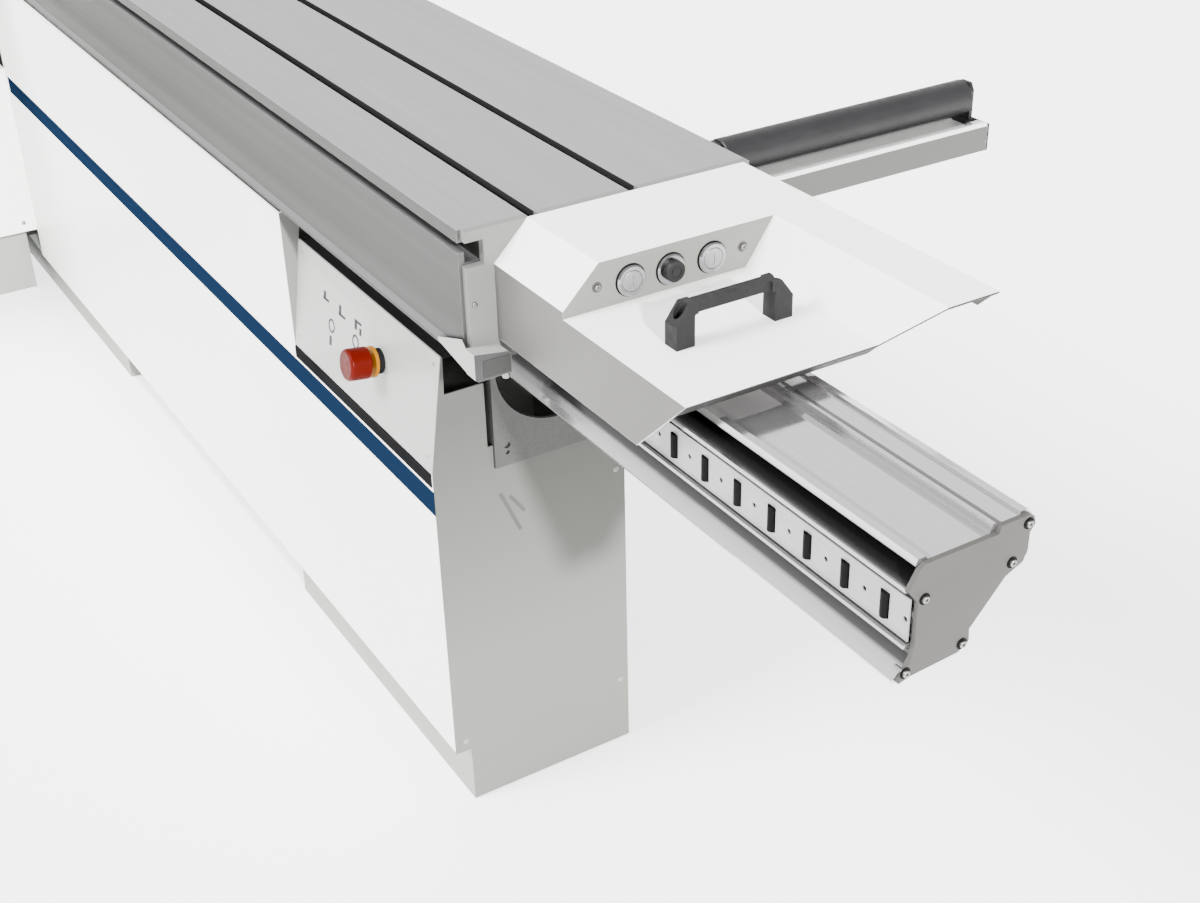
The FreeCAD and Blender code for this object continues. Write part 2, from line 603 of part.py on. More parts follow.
def end_cover():
    slot = SADDLE_X0 - 7
    outline = [(PLINTH_X0, 2), (BASE_X1, 2), (BASE_X1, 617), (266, 617), (266, 530), (SADDLE_X0, 530),
               (slot, 530), (slot, 617), (lean_x(617) + 7.5, 617),
               (lean_x(RECESS_Z1) + 2, RECESS_Z1), (lean_x(RECESS_Z1), RECESS_Z1), (BASE_X0, RECESS_Z0),
               (BASE_X0, PLINTH_Z1), (PLINTH_X0, PLINTH_Z1)]
    return prism(outline, "y", BASE_Y0, SHEET)


def outer_side_panel():
    return box(BASE_X1 - SHEET, BASE_X1, BASE_Y0 + SHEET, BASE_Y1, PANEL_Z0, 617)


def plinth_feet():
    near = box(PLINTH_X0, BASE_X1 - SHEET, BASE_Y0 + SHEET, 709, 0, PANEL_Z0)
    far = box(PLINTH_X0, BASE_X1 - SHEET, 1580, BASE_Y1, 0, PANEL_Z0)
    feet = []
    for foot in (near, far):
        b = foot.BoundBox
        foot = foot.cut(box(b.XMin + 3, b.XMax - 3, b.YMin + 3, b.YMax - 3, 5, PLINTH_Z1 - 3))
        feet.append(cut_all(foot, [rod((x, y, -1), (0, 0, 1), ANCHOR_R, 7) for x in ANCHOR_XS for y in ANCHOR_YS]))
    return group(feet)


def base_floor_plate():
    return box(BASE_X0 + SHEET, BASE_X1 - SHEET, BASE_Y0 + SHEET, BASE_Y1, PANEL_Z0 + SHEET, PANEL_Z0 + 6)


def base_bulkheads():
    plates = []
    for y in (360.0, 1420.0, 2140.0, 3120.0):
        outline = [(60, PANEL_Z0 + 6), (BASE_X1 - SHEET, PANEL_Z0 + 6), (BASE_X1 - SHEET, 600), (215, 640),
                   (60, 640)]
        plate = prism(outline, "y", y, 5)
        plates.append(plate.cut(rod((160, y - 1, 360), (0, 1, 0), 60, 8)))
    return group(plates)


def beam_saddle_near():
    """Bracket on the end cover: a U-shaped opening under the beam, and side flanges."""
    y0 = BASE_Y0 - 5
    x0 = SADDLE_X0
    plate = box(x0, 265, y0, BASE_Y0, 500, 648)
    opening = join([rod((x0 + 90, y0 - 1, 630), (0, 1, 0), 84, 10),
                    box(x0 + 6, 260, y0 - 1, y0 + 9, 630, 660)])
    plate = plate.cut(opening)
    flange = box(x0, x0 + 5, BASE_Y0, 360, 530, 679)
    right = box(260, 265, BASE_Y0, 360, 530, 648)
    ledge = box(x0, 121, y0, 360, 679, BEAM_BOTTOM_Z)
    post = box(x0, x0 + 5, y0, BASE_Y0, 640, 680)
    holes = [rod((x0 + 17, y0 - 1, z), (0, 1, 0), r, 8) for z, r in ((528, 4.5), (518, 3.0))]
    return cut_all(join([plate, flange, ledge, post, right]), holes)


def beam_saddles_rear():
    saddles = []
    for y in (1420.0, 2140.0, 3120.0):
        web = box(84, 119, y - 30, y, 640, BEAM_BOTTOM_Z)
        foot = box(70, 150, y - 30, y, 600, 640)
        saddles.append(join([web, foot]))
    return group(saddles)


# ---- main cabinet and tables --------------------------------------------------------------------
def cabinet_front():
    lower = box(CAB_X0, BASE_X0, CAB_Y0, CAB_Y0 + 3, CAB_Z0, CAB_LEDGE_Z)
    ledge = box(CAB_X0, BASE_X0, CAB_Y0, CAB_Y0 + CAB_SETBACK, CAB_LEDGE_Z - 3, CAB_LEDGE_Z)
    shafts = [rod((x, CAB_Y0 - 1, WHEEL_Z), (0, 1, 0), 12.5, 6) for x in (TILT_WHEEL_X, LIFT_WHEEL_X)]
    return cut_all(join([lower, ledge]), shafts)


def cabinet_sheet(y0, z0):
    """Upright sheet that steps back beside the path of the carriage."""
    outline = [(CAB_X0, z0), (BASE_X0, z0), (BASE_X0, 700), (CARRIAGE_CLEAR_X, 700),
               (CARRIAGE_CLEAR_X, TABLE_Z - TABLE_T), (CAB_X0, TABLE_Z - TABLE_T)]
    return prism(outline, "y", y0, 3)


def cabinet_fascia():
    return cabinet_sheet(CAB_Y0 + CAB_SETBACK - 3, CAB_LEDGE_Z)


def cabinet_back():
    plate = cabinet_sheet(CAB_Y1 - 3, CAB_Z0)
    return plate.cut(rod((-350, CAB_Y1 - 5, 300), (0, 1, 0), 56, 10))


def cabinet_wall():
    """Left wall with the door opening."""
    wall = box(CAB_X0, CAB_X0 + 3, CAB_Y0 + 3, CAB_Y1 - 3, CAB_Z0, TABLE_Z - TABLE_T)
    setback = box(CAB_X0 - 1, CAB_X0 + 4, CAB_Y0, CAB_Y0 + CAB_SETBACK, CAB_LEDGE_Z - 3, TABLE_Z)
    opening = box(CAB_X0 - 1, CAB_X0 + 4, 2290, 2990, 230, 760)
    return wall.cut(setback).cut(opening)


def cabinet_floor():
    return box(CAB_X0 + 3, BASE_X0 + 3, CAB_Y0 + 3, CAB_Y1 - 3, CAB_Z0, CAB_Z0 + 3)


def cabinet_plinth():
    plinth = box(CAB_X0 + 40, -10, CAB_Y0 + 50, CAB_Y1 - 40, 0, CAB_Z0)
    inner = box(CAB_X0 + 44, -14, CAB_Y0 + 54, CAB_Y1 - 44, -1, CAB_Z0 - 4)
    return plinth.cut(inner)


def cabinet_door():
    x0 = CAB_X0 - 4
    panel = box(x0, x0 + 2.5, 2275, 3005, 215, 775)
    pull = box(x0 - 12, x0, 2300, 2312, 460, 560)
    pull = pull.cut(box(x0 - 8, x0, 2299, 2313, 470, 550))
    knuckle = rod((x0 - 4, 3011, 260), (0, 0, 1), 5, 60)
    knuckle2 = rod((x0 - 4, 3011, 670), (0, 0, 1), 5, 60)
    ears = [box(x0 - 6, x0, 3000, 3011, z, z + 60) for z in (260, 670)]
    body = join([panel, pull] + ears + [knuckle, knuckle2])
    return cut_all(body, [rod((x0 - 4, 3011, 250), (0, 0, 1), 2.55, 500)])


def door_hinge_pins():
    x = CAB_X0 - 8
    pieces = []
    for z in (260, 670):
        pin = rod((x, 3011, z - 8), (0, 0, 1), 2.5, 76)
        lugs = [box(x - 4, CAB_X0, 3013.8 - 5, 3024, z - 8, z - 1), box(x - 4, CAB_X0, 3013.8 - 5, 3024, z + 61, z + 68)]
        pieces.append(join([pin] + lugs))
    return group(pieces)


def main_table():
    top = box(TABLE_X0, TABLE_X1, TABLE_Y[0], TABLE_Y[1], TABLE_Z - 12, TABLE_Z)
    skirt = box(TABLE_X0, TABLE_X1, TABLE_Y[0], TABLE_Y[1], TABLE_Z - TABLE_T, TABLE_Z)
    skirt = skirt.cut(box(TABLE_X0 + 14, TABLE_X1 - 14, TABLE_Y[0] + 14, TABLE_Y[1] - 14, 800, 880))
    ribs = [box(TABLE_X0, -330, y, y + 10, TABLE_Z - 34, TABLE_Z) for y in (2330.0, 2600.0, 2870.0)]
    body = join([top, skirt] + ribs)
    throat = box(-230, -60, 2200, 2900, TABLE_Z - 60, TABLE_Z + 1)
    bevel_room = box(-230, -40, 2200, 2900, TABLE_Z - 60, TABLE_Z - 12)
    return cut_all(body, [throat, bevel_room])


def table_insert():
    """Two strips beside the blade with fillers between them, on a cross bar at each end."""
    x0, x1 = -229.5, -60.5
    y0, y1 = 2200.5, 2899.5
    gap0 = BLADE_X - BLADE_T / 2 - 2.4
    gap1 = BLADE_X + BLADE_T / 2 + 11.4
    low = TABLE_Z - 8
    fillers = [(y0, SCORE_Y - 40), (SCORE_Y + 40, BLADE_Y - 160), (BLADE_Y + 230, y1)]
    solids = [box(x0, gap0, y0, y1, low, TABLE_Z), box(gap1, x1, y0, y1, low, TABLE_Z)]
    solids += [box(gap0, gap1, a, b, low, TABLE_Z) for a, b in fillers]
    solids += [box(x0, x1, y, y + 14, low - 4, low) for y in (y0, y1 - 14)]
    return group(solids)


def extension_table():
    outer = box(EXT_X0, TABLE_X0 - 0.5, TABLE_Y[0], TABLE_Y[1], TABLE_Z - TABLE_T, TABLE_Z)
    inner = box(EXT_X0 + 3, TABLE_X0 - 3.5, TABLE_Y[0] + 3, TABLE_Y[1] - 3, TABLE_Z - TABLE_T - 1, TABLE_Z - 3)
    return outer.cut(inner)


def extension_strut():
    run = [(EXT_X0 + 60, TABLE_Z - TABLE_T), (EXT_X0 + 100, TABLE_Z - TABLE_T), (CAB_X0, 470), (CAB_X0, 420)]
    return prism(run, "y", 3060, 40)


def fence_rail():
    bar = rod((EXT_X0 + 5, RAIL_Y, RAIL_BAR_Z), (1, 0, 0), RAIL_BAR_R, -60 - EXT_X0 - 5)
    return bar


def fence_rail_brackets():
    brackets = []
    for x in (-1040.0, -680.0, -330.0, -80.0):
        block = box(x - 12, x + 12, RAIL_Y + 18.2, TABLE_Y[0], RAIL_BAR_Z - 4, RAIL_BAR_Z + 12)
        neck = rod((x, RAIL_Y + 18, RAIL_BAR_Z + 2), (0, 1, 0), 7, 20)
        brackets.append(join([block, neck]).cut(rod((x - 20, RAIL_Y, RAIL_BAR_Z), (1, 0, 0), RAIL_BAR_R, 40)))
    return group(brackets)


def rip_fence_head():
    """Cast head that slides on the bar: a sleeve open at the back for the rail brackets."""
    sleeve = tube((FENCE_X - 45, RAIL_Y, RAIL_BAR_Z), (1, 0, 0), RAIL_BAR_R + 9, RAIL_BAR_R + 0.05, 90)
    gap = box(FENCE_X - 50, FENCE_X + 50, RAIL_Y + 12, RAIL_Y + 40, RAIL_BAR_Z - 14, RAIL_BAR_Z + 16)
    top = box(FENCE_X - 45, FENCE_X + 30, RAIL_Y - 14, TABLE_Y[0] + 30, TABLE_Z + 2, TABLE_Z + 18)
    post = box(FENCE_X - 45, FENCE_X + 30, RAIL_Y - 14, RAIL_Y + 14, RAIL_BAR_Z + 24, TABLE_Z + 10)
    lugs = [box(x, x + 6, LEVER_Y - 8, RAIL_Y - 24, LEVER_Z - 9, LEVER_Z + 12) for x in (FENCE_X - 14, FENCE_X + 8)]
    head = join([sleeve.cut(gap), top, post] + lugs)
    return head.cut(rod((FENCE_X - 20, LEVER_Y, LEVER_Z), (1, 0, 0), LEVER_PIN_R + 0.05, 40))


def rip_fence_bar():
    body = box(FENCE_X - 10, FENCE_X + 30, TABLE_Y[0] + 30.0, 2960, TABLE_Z + 2, TABLE_Z + 92)
    chambers = [box(FENCE_X - 6, FENCE_X + 26, TABLE_Y[0] + 34, 2956, TABLE_Z + 6, TABLE_Z + 42),
                box(FENCE_X - 6, FENCE_X + 26, TABLE_Y[0] + 34, 2956, TABLE_Z + 46, TABLE_Z + 88)]
    return cut_all(body, chambers)


def fence_lock_lever():
    hub = rod((FENCE_X - 6, LEVER_Y, LEVER_Z), (1, 0, 0), 7, 12)
    pin = rod((FENCE_X - 15, LEVER_Y, LEVER_Z), (1, 0, 0), LEVER_PIN_R, 30)
    arm = rod((FENCE_X, LEVER_Y, LEVER_Z), (0, -0.35, -0.94), 4.5, 70)
    ball = Part.makeSphere(12, V(FENCE_X, LEVER_Y - 24.5, LEVER_Z - 66))
    return join([hub, pin, arm, ball])


# ---- saw unit ------------------------------------------------------------------------------------
def trunnions():
    """Quadrant plates bolted under the table, front and rear."""
    plates = []
    for y in (2160.0, 2930.0):
        ring = tube((BLADE_X, y, TABLE_Z), (0, 1, 0), 215, 180, 10)
        keep = box(BLADE_X - 230, BLADE_X + 110, y - 1, y + 11, 640, TABLE_Z - TABLE_T)
        lugs = box(BLADE_X - 215, BLADE_X - 165, y, y + 10, TABLE_Z - TABLE_T - 40, TABLE_Z - TABLE_T)
        plates.append(join([ring.common(keep), lugs]))
    return group(plates)


def tilt_frame():
    """Cradle that hangs in the trunnions: two end plates and a base plate."""
    ends = []
    for y in (2172.0, 2912.0):
        outline = [(BLADE_X - 150, 600), (BLADE_X - 20, 600), (BLADE_X - 20, 800),
                   (BLADE_X - 60, 800), (BLADE_X - 150, 710)]
        ends.append(prism(outline, "y", y, 8))
    base = box(BLADE_X - 150, BLADE_X - 140, 2172, 2920, 640, 710)
    ways = [rod((WAY_X, y, 600), (0, 0, 1), WAY_R, 184) for y in WAY_YS]
    bridge = [box(BLADE_X - 142, WAY_X + 16, y - 16, y + 16, 600, 612) for y in WAY_YS]
    posts = [box(BLADE_X - 150, BLADE_X - 140, y - 16, y + 16, 600, 650) for y in WAY_YS]
    arm = box(BLADE_X - 150, BLADE_X - 84, SCORE_Y - 20, SCORE_Y + 20, 660, SCORE_Z)
    head = rod((BLADE_X - 90, SCORE_Y, SCORE_Z), (1, 0, 0), 24, 72)
    body = join(ends + [base] + bridge + posts + ways + [arm, head])
    pocket = box(SCORE_PULLEY_X - 1, SCORE_PULLEY_X + 19, SCORE_Y - 26, SCORE_Y + 26, SCORE_Z - 24, SCORE_Z + 26)
    bore = rod((BLADE_X - 160, SCORE_Y, SCORE_Z), (1, 0, 0), SCORE_SHAFT_R + 0.05, 160)
    return cut_all(body, [pocket, bore])


def lift_carrier():
    """Slides on the two upright ways and carries arbor housing, motor and knife."""
    plate = box(BLADE_X - 96, BLADE_X - 84, 2400, 2890, 560, 772)
    tail = box(BLADE_X - 96, BLADE_X - 84, 2600, 2800, 450, 570)
    sleeves = []
    for y in WAY_YS:
        sleeve = rod((WAY_X, y, 690), (0, 0, 1), 18, 70)
        web = box(WAY_X + 6, BLADE_X - 90, y - 12, y + 12, 692, 758)
        sleeves.append(sleeve.fuse(web).cut(rod((WAY_X, y, 680), (0, 0, 1), WAY_R + 0.05, 90)))
    housing = rod((BLADE_X - 96, BLADE_Y, ARBOR_Z), (1, 0, 0), 30, 74)
    bridge = box(BLADE_X - 96, BLADE_X - 30, BLADE_Y - 26, BLADE_Y + 26, 740, ARBOR_Z)
    brackets = [box(MOTOR_X - 12, BLADE_X - 90, 2765, 2785, 470, 555),
                box(MOTOR_X - 12, BLADE_X - 90, 2612, 2632, 458, 498)]
    bore = rod((BLADE_X - 130, BLADE_Y, ARBOR_Z), (1, 0, 0), ARBOR_R + 0.05, 130)
    return cut_all(join([plate, tail] + sleeves + [housing, bridge] + brackets), [bore])


def saw_arbor():
    """Arbor with its fixed collar, clamping flange, nut and pulley; the blade sits between the flanges."""
    shaft = rod((PULLEY_X, BLADE_Y, ARBOR_Z), (1, 0, 0), ARBOR_R, BLADE_X + 24 - PULLEY_X)
    collar = rod((BLADE_X - BLADE_T / 2 - 14, BLADE_Y, ARBOR_Z), (1, 0, 0), 32, 14)
    flange = rod((BLADE_X + BLADE_T / 2, BLADE_Y, ARBOR_Z), (1, 0, 0), 32, 8)
    nut = rod((BLADE_X + BLADE_T / 2 + 8, BLADE_Y, ARBOR_Z), (1, 0, 0), 23, 10)
    return join([shaft, collar, flange, nut, grooved_pulley(BLADE_Y, ARBOR_Z, SMALL_PULLEY_R)])


def grooved_pulley(y, z, radius):
    wheel = rod((PULLEY_X, y, z), (1, 0, 0), radius, PULLEY_W)
    grooves = [tube((PULLEY_X + 4 + 6 * i, y, z), (1, 0, 0), radius + 1, radius - 3.5, 3) for i in range(3)]
    return cut_all(wheel, grooves)


def toothed_disc(x, y, z, radius, thickness, bore, teeth):
    """Saw blade: hooked teeth round a disc, one gullet in front of each."""
    points = []
    gullet = radius * (0.055 + 0.6 / teeth)
    for tooth in range(teeth):
        angle = 2 * math.pi * tooth / teeth
        step = 2 * math.pi / teeth
        for part, r in ((0.0, radius), (0.38, radius - gullet * 0.16), (0.62, radius - gullet),
                        (0.86, radius - gullet)):
            a = angle + part * step
            points.append((y + r * math.cos(a), z + r * math.sin(a)))
    disc = prism(points, "x", x - thickness / 2, thickness)
    return disc.cut(rod((x - thickness, y, z), (1, 0, 0), bore, 2 * thickness))


def saw_blade():
    return toothed_disc(BLADE_X, BLADE_Y, ARBOR_Z, BLADE_R, BLADE_T, ARBOR_R, 48)


def scoring_blade():
    return toothed_disc(BLADE_X, SCORE_Y, SCORE_Z, SCORE_R, 3.0, SCORE_SHAFT_R, 24)


def scoring_arbor():
    shaft = rod((SCORE_PULLEY_X, SCORE_Y, SCORE_Z), (1, 0, 0), SCORE_SHAFT_R, BLADE_X + 14 - SCORE_PULLEY_X)
    collar = rod((BLADE_X - 16, SCORE_Y, SCORE_Z), (1, 0, 0), 22, 14.5)
    flange = rod((BLADE_X + 1.5, SCORE_Y, SCORE_Z), (1, 0, 0), 22, 6)
    pulley = rod((SCORE_PULLEY_X, SCORE_Y, SCORE_Z), (1, 0, 0), 20, 18)
    return join([shaft, collar, flange, pulley])


def riving_knife():
    r0 = BLADE_R + 4
    outer = tube((BLADE_X - 1.25, BLADE_Y, ARBOR_Z), (1, 0, 0), r0 + 42, r0, 2.5)
    keep = prism([(BLADE_Y + 60, ARBOR_Z - 60), (BLADE_Y + 220, ARBOR_Z - 60), (BLADE_Y + 220, ARBOR_Z + 145),
                  (BLADE_Y + 60, ARBOR_Z + 145)], "x", BLADE_X - 3, 6)
    y0 = BLADE_Y + r0 + 4
    bracket = box(BLADE_X - 84, BLADE_X + 1.25, y0, y0 + 28, ARBOR_Z - 58, ARBOR_Z - 42)
    foot = box(BLADE_X - 84, BLADE_X - 76, y0, y0 + 28, 690, ARBOR_Z - 42)
    return join([outer.common(keep), bracket, foot])


def motor():
    body = rod((MOTOR_X - 250, MOTOR_Y, MOTOR_Z), (1, 0, 0), MOTOR_R - 8, 230)
    fins = [tube((MOTOR_X - 235 + 14 * i, MOTOR_Y, MOTOR_Z), (1, 0, 0), MOTOR_R, MOTOR_R - 9, 5) for i in range(14)]
    terminal = box(MOTOR_X - 190, MOTOR_X - 90, MOTOR_Y - 45, MOTOR_Y + 45, MOTOR_Z + 60, MOTOR_Z + 118)
    flange = rod((MOTOR_X - 22, MOTOR_Y, MOTOR_Z), (1, 0, 0), MOTOR_R, 10)
    bore = rod((MOTOR_X - 120, MOTOR_Y, MOTOR_Z), (1, 0, 0), MOTOR_SHAFT_R + 0.05, 140)
    return join([body] + fins + [terminal, flange]).cut(bore)


def motor_pulley():
    shaft = rod((MOTOR_X - 110, MOTOR_Y, MOTOR_Z), (1, 0, 0), MOTOR_SHAFT_R, PULLEY_X + 18 - MOTOR_X + 110)
    return join([shaft, grooved_pulley(MOTOR_Y, MOTOR_Z, LARGE_PULLEY_R)])


def drive_belt():
    """Closed ribbed belt round both pulleys, clear of them by the width of a hair."""
    dy = MOTOR_Y - BLADE_Y
    dz = MOTOR_Z - ARBOR_Z
    span = math.hypot(dy, dz)
    r_small = SMALL_PULLEY_R + 0.4
    r_large = LARGE_PULLEY_R + 0.4
    tilt = math.asin((r_large - r_small) / span)
    along = math.atan2(dz, dy)

    def outline(extra):
        points = []
        for centre, r, a0, a1 in (((MOTOR_Y, MOTOR_Z), r_large + extra, -math.pi / 2 - tilt, math.pi / 2 + tilt),
                                  ((BLADE_Y, ARBOR_Z), r_small + extra, math.pi / 2 + tilt,
                                   3 * math.pi / 2 - tilt)):
            if extra == 0.0:
                r /= math.cos(abs(a1 - a0) / 64)
            for i in range(33):
                a = along + a0 + (a1 - a0) * i / 32
                points.append((centre[0] + r * math.cos(a), centre[1] + r * math.sin(a)))
        return points

    outer = prism(outline(4.0), "x", PULLEY_X + 2, PULLEY_W - 4)
    inner = prism(outline(0.0), "x", PULLEY_X + 1, PULLEY_W - 2)
    return outer.cut(inner)


def handwheel(x):
    y = WHEEL_Y - 50
    rim = Part.makeTorus(WHEEL_R - 8, 8, V(x, y, WHEEL_Z), V(0, 1, 0))
    hub = rod((x, y - 12, WHEEL_Z), (0, 1, 0), 20, 30)
    spokes = []
    for i in range(3):
        a = math.radians(90 + 120 * i)
        spokes.append(rod((x, y, WHEEL_Z), (math.cos(a), 0, math.sin(a)), 6, WHEEL_R - 8))
    knob = rod((x + (WHEEL_R - 8) * 0.7071, y, WHEEL_Z - (WHEEL_R - 8) * 0.7071), (0, -1, 0), 9, 52)
    shaft = rod((x, y, WHEEL_Z), (0, 1, 0), 9, 100)
    return join([rim, hub] + spokes + [knob, shaft])


def shaft_bushes():
    bushes = []
    for x in (TILT_WHEEL_X, LIFT_WHEEL_X):
        bush = tube((x, CAB_Y0 - 8, WHEEL_Z), (0, 1, 0), 12.4, 9.05, 40)
        collar = tube((x, CAB_Y0 - 8, WHEEL_Z), (0, 1, 0), 20, 9.05, 8)
        bushes.append(join([bush, collar]))
    return group(bushes)


# ---- guard, extraction and electrics ----------------------------------------------------------------
def guard_post():
    post = box(POST_X - 25, POST_X + 25, POST_Y - 25, POST_Y + 25, TABLE_Z, ARM_TOP_Z)
    foot = box(POST_X - 45, POST_X + 45, POST_Y - 35, POST_Y + 35, TABLE_Z, TABLE_Z + 10)
    return join([post, foot])


def guard_arm():
    cross = box(POST_X + 25, BLADE_X - 14, POST_Y - 20, POST_Y + 20, ARM_TOP_Z - 60, ARM_TOP_Z - 10)
    reach = box(BLADE_X - 94, BLADE_X - 14, BLADE_Y - 20, POST_Y - 20, ARM_TOP_Z - 60, ARM_TOP_Z - 10)
    sleeve = box(BLADE_X - 80, BLADE_X - 28, BLADE_Y - 12, BLADE_Y + 40, ARM_TOP_Z - 110, ARM_TOP_Z - 60)
    hole = box(BLADE_X - 66.5, BLADE_X - 41.5, BLADE_Y + 1.5, BLADE_Y + 26.5, ARM_TOP_Z - 120, ARM_TOP_Z)
    return join([cross, reach, sleeve]).cut(hole)


def guard_hood():
    """Clear hood over the blade, open below, on its own upright bar."""
    x0, x1 = BLADE_X - 120, BLADE_X + 30
    y0, y1 = BLADE_Y - 190, BLADE_Y + 215
    top = GUARD_Z + 105
    shape = [(y0, GUARD_Z), (y0 + 60, top), (y1, top), (y1, GUARD_Z)]
    inner = [(y0 + 5, GUARD_Z - 1), (y0 + 63, top - 4), (y1 - 4, top - 4), (y1 - 4, GUARD_Z - 1)]
    shell = prism(shape, "x", x0, x1 - x0).cut(prism(inner, "x", x0 + 4, x1 - x0 - 8))
    bar = box(BLADE_X - 66, BLADE_X - 42, BLADE_Y + 2, BLADE_Y + 26, top, ARM_TOP_Z + 60)
    return join([shell, bar])


def dust_port():
    port = tube((-350, CAB_Y1 - 6, 300), (0, 1, 0), 60, 57, 86)
    flange = tube((-350, CAB_Y1, 300), (0, 1, 0), 75, 57, 4)
    lower = port.cut(box(-420, -280, CAB_Y1 - 10, CAB_Y1, 220, 380))
    return join([lower, flange])


# ---- the pieces ---------------------------------------------------------------------------------------
def start_button():
    return push_button(BUTTON_XS[0], 4.6, True)


def stop_button():
    return push_button(BUTTON_XS[1], 11.0, False)


def scoring_button():
    return push_button(BUTTON_XS[2], 4.6, True)


def carriage_screws():
    return group(end_plate_screws().Solids + hood_screws().Solids + handle_screws().Solids)


def outrigger_fittings():
    return group(roller_brackets().Solids + [outrigger_end_cap()])


def base_frame():
    return group([base_floor_plate()] + base_bulkheads().Solids)


def base_covers():
    return group([end_cover(), outer_side_panel()])


def beam_saddles():
    return group([beam_saddle_near()] + beam_saddles_rear().Solids)


def main_cabinet():
    return group([cabinet_front(), cabinet_fascia(), cabinet_back(), cabinet_floor()]
                 + shaft_bushes().Solids)


def cabinet_side():
    return group([cabinet_wall()] + door_hinge_pins().Solids)


def panel_trim():
    return group([ledge_seal(), estop_collar(), brush_seal()])


def extension_leaf():
    return group([extension_table(), extension_strut()])


def fence_rail_bar():
    return join([fence_rail(), fence_rail_brackets()])


def rip_fence():
    return join([rip_fence_head(), rip_fence_bar()])


def guard_support():
    return join([guard_post(), guard_arm()])


def tilt_handwheel():
    return handwheel(TILT_WHEEL_X)


def lift_handwheel():
    return handwheel(LIFT_WHEEL_X)


PIECES = [
    carriage_profile, carriage_end_plates, carriage_guide_rails, carriage_wipers, carriage_screws,
    control_hood, button_bezels, start_button, stop_button, scoring_button, bridge_handle,
    outrigger_profile, outrigger_fittings, roller_axle, outrigger_roller,
    fence_pivot_block, crosscut_fence, flip_stop,
    fixed_beam, beam_end_caps, beam_cap_screws, beam_guide_rails, roller_cage_strips, cage_rollers,
    side_panel, side_stripe, control_panel, panel_trim, estop_yellow_ring, estop_button,
    base_covers, plinth_feet, base_frame, beam_saddles,
    main_cabinet, cabinet_side, cabinet_plinth, cabinet_door, main_table, table_insert, extension_leaf,
    fence_rail_bar, rip_fence, fence_lock_lever,
    trunnions, tilt_frame, lift_carrier, saw_arbor, saw_blade, scoring_arbor, scoring_blade,
    riving_knife, motor, motor_pulley, drive_belt, guard_support, guard_hood, dust_port,
    tilt_handwheel, lift_handwheel]

for build in PIECES:
    save(build.__name__, build())
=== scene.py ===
"""Looks of the sliding-table panel saw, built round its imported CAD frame."""
import math

import bmesh
import bpy
from mathutils import Matrix, Vector


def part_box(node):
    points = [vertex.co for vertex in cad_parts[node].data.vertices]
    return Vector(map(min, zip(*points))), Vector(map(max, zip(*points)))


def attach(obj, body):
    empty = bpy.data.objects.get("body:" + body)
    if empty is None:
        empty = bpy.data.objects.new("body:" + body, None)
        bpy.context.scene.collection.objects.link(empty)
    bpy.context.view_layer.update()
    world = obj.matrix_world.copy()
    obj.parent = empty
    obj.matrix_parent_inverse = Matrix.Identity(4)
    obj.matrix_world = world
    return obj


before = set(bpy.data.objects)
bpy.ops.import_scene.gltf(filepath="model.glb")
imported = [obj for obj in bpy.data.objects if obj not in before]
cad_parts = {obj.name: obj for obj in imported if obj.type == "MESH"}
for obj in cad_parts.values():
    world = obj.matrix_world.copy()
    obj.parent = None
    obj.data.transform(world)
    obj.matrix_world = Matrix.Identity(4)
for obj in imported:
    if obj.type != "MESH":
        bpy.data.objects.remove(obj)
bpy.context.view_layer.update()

MM = 0.001
LEFT, RIGHT = (-1, 0, 0), (1, 0, 0)
NEAR, FAR = (0, -1, 0), (0, 1, 0)
DOWN, UP = (0, 0, -1), (0, 0, 1)

# The machine's own measuring point is the near left corner of the sliding carriage, on the floor.
# The end plate starts a little to the right of it.
PLATE_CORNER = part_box("carriage_end_plates")[0]
END_PLATE_INSET = 4.0
NEAR_LEFT = (PLATE_CORNER[0] - END_PLATE_INSET * MM, PLATE_CORNER[1])


def at(x, y, z):
    """A place given in millimetres from the machine's measuring point, in the row frame."""
    return Vector((NEAR_LEFT[0] + x * MM, NEAR_LEFT[1] + y * MM, z * MM))


# ---- colours ------------------------------------------------------------------------
def linear(red, green, blue):
    """Screen colour, 0 to 255, as linear RGBA by the usual sRGB curve."""
    values = [c / 255.0 for c in (red, green, blue)]
    values = [c / 12.92 if c <= 0.04045 else ((c + 0.055) / 1.055) ** 2.4 for c in values]
    return (values[0], values[1], values[2], 1.0)


def grey(level):
    """Neutral colour of one linear level."""
    return (level, level, level, 1.0)


def scaled(colour, factor):
    """The same colour made lighter or darker by a factor."""
    return tuple(min(1.0, c * factor) for c in colour[:3]) + (1.0,)


# ---- materials ----------------------------------------------------------------------
FLANK_EDGE_X = 90.5                    # in mm, where the beam's left flank ends and its top begins
FADE_START_Y, FADE_END_Y = 0.1, 1.5    # in metres, stretch over which the carriage's side darkens
MIX_FACTOR, MIX_FIRST, MIX_SECOND, MIX_RESULT = 0, 6, 7, 2    # colour sockets of the Mix node


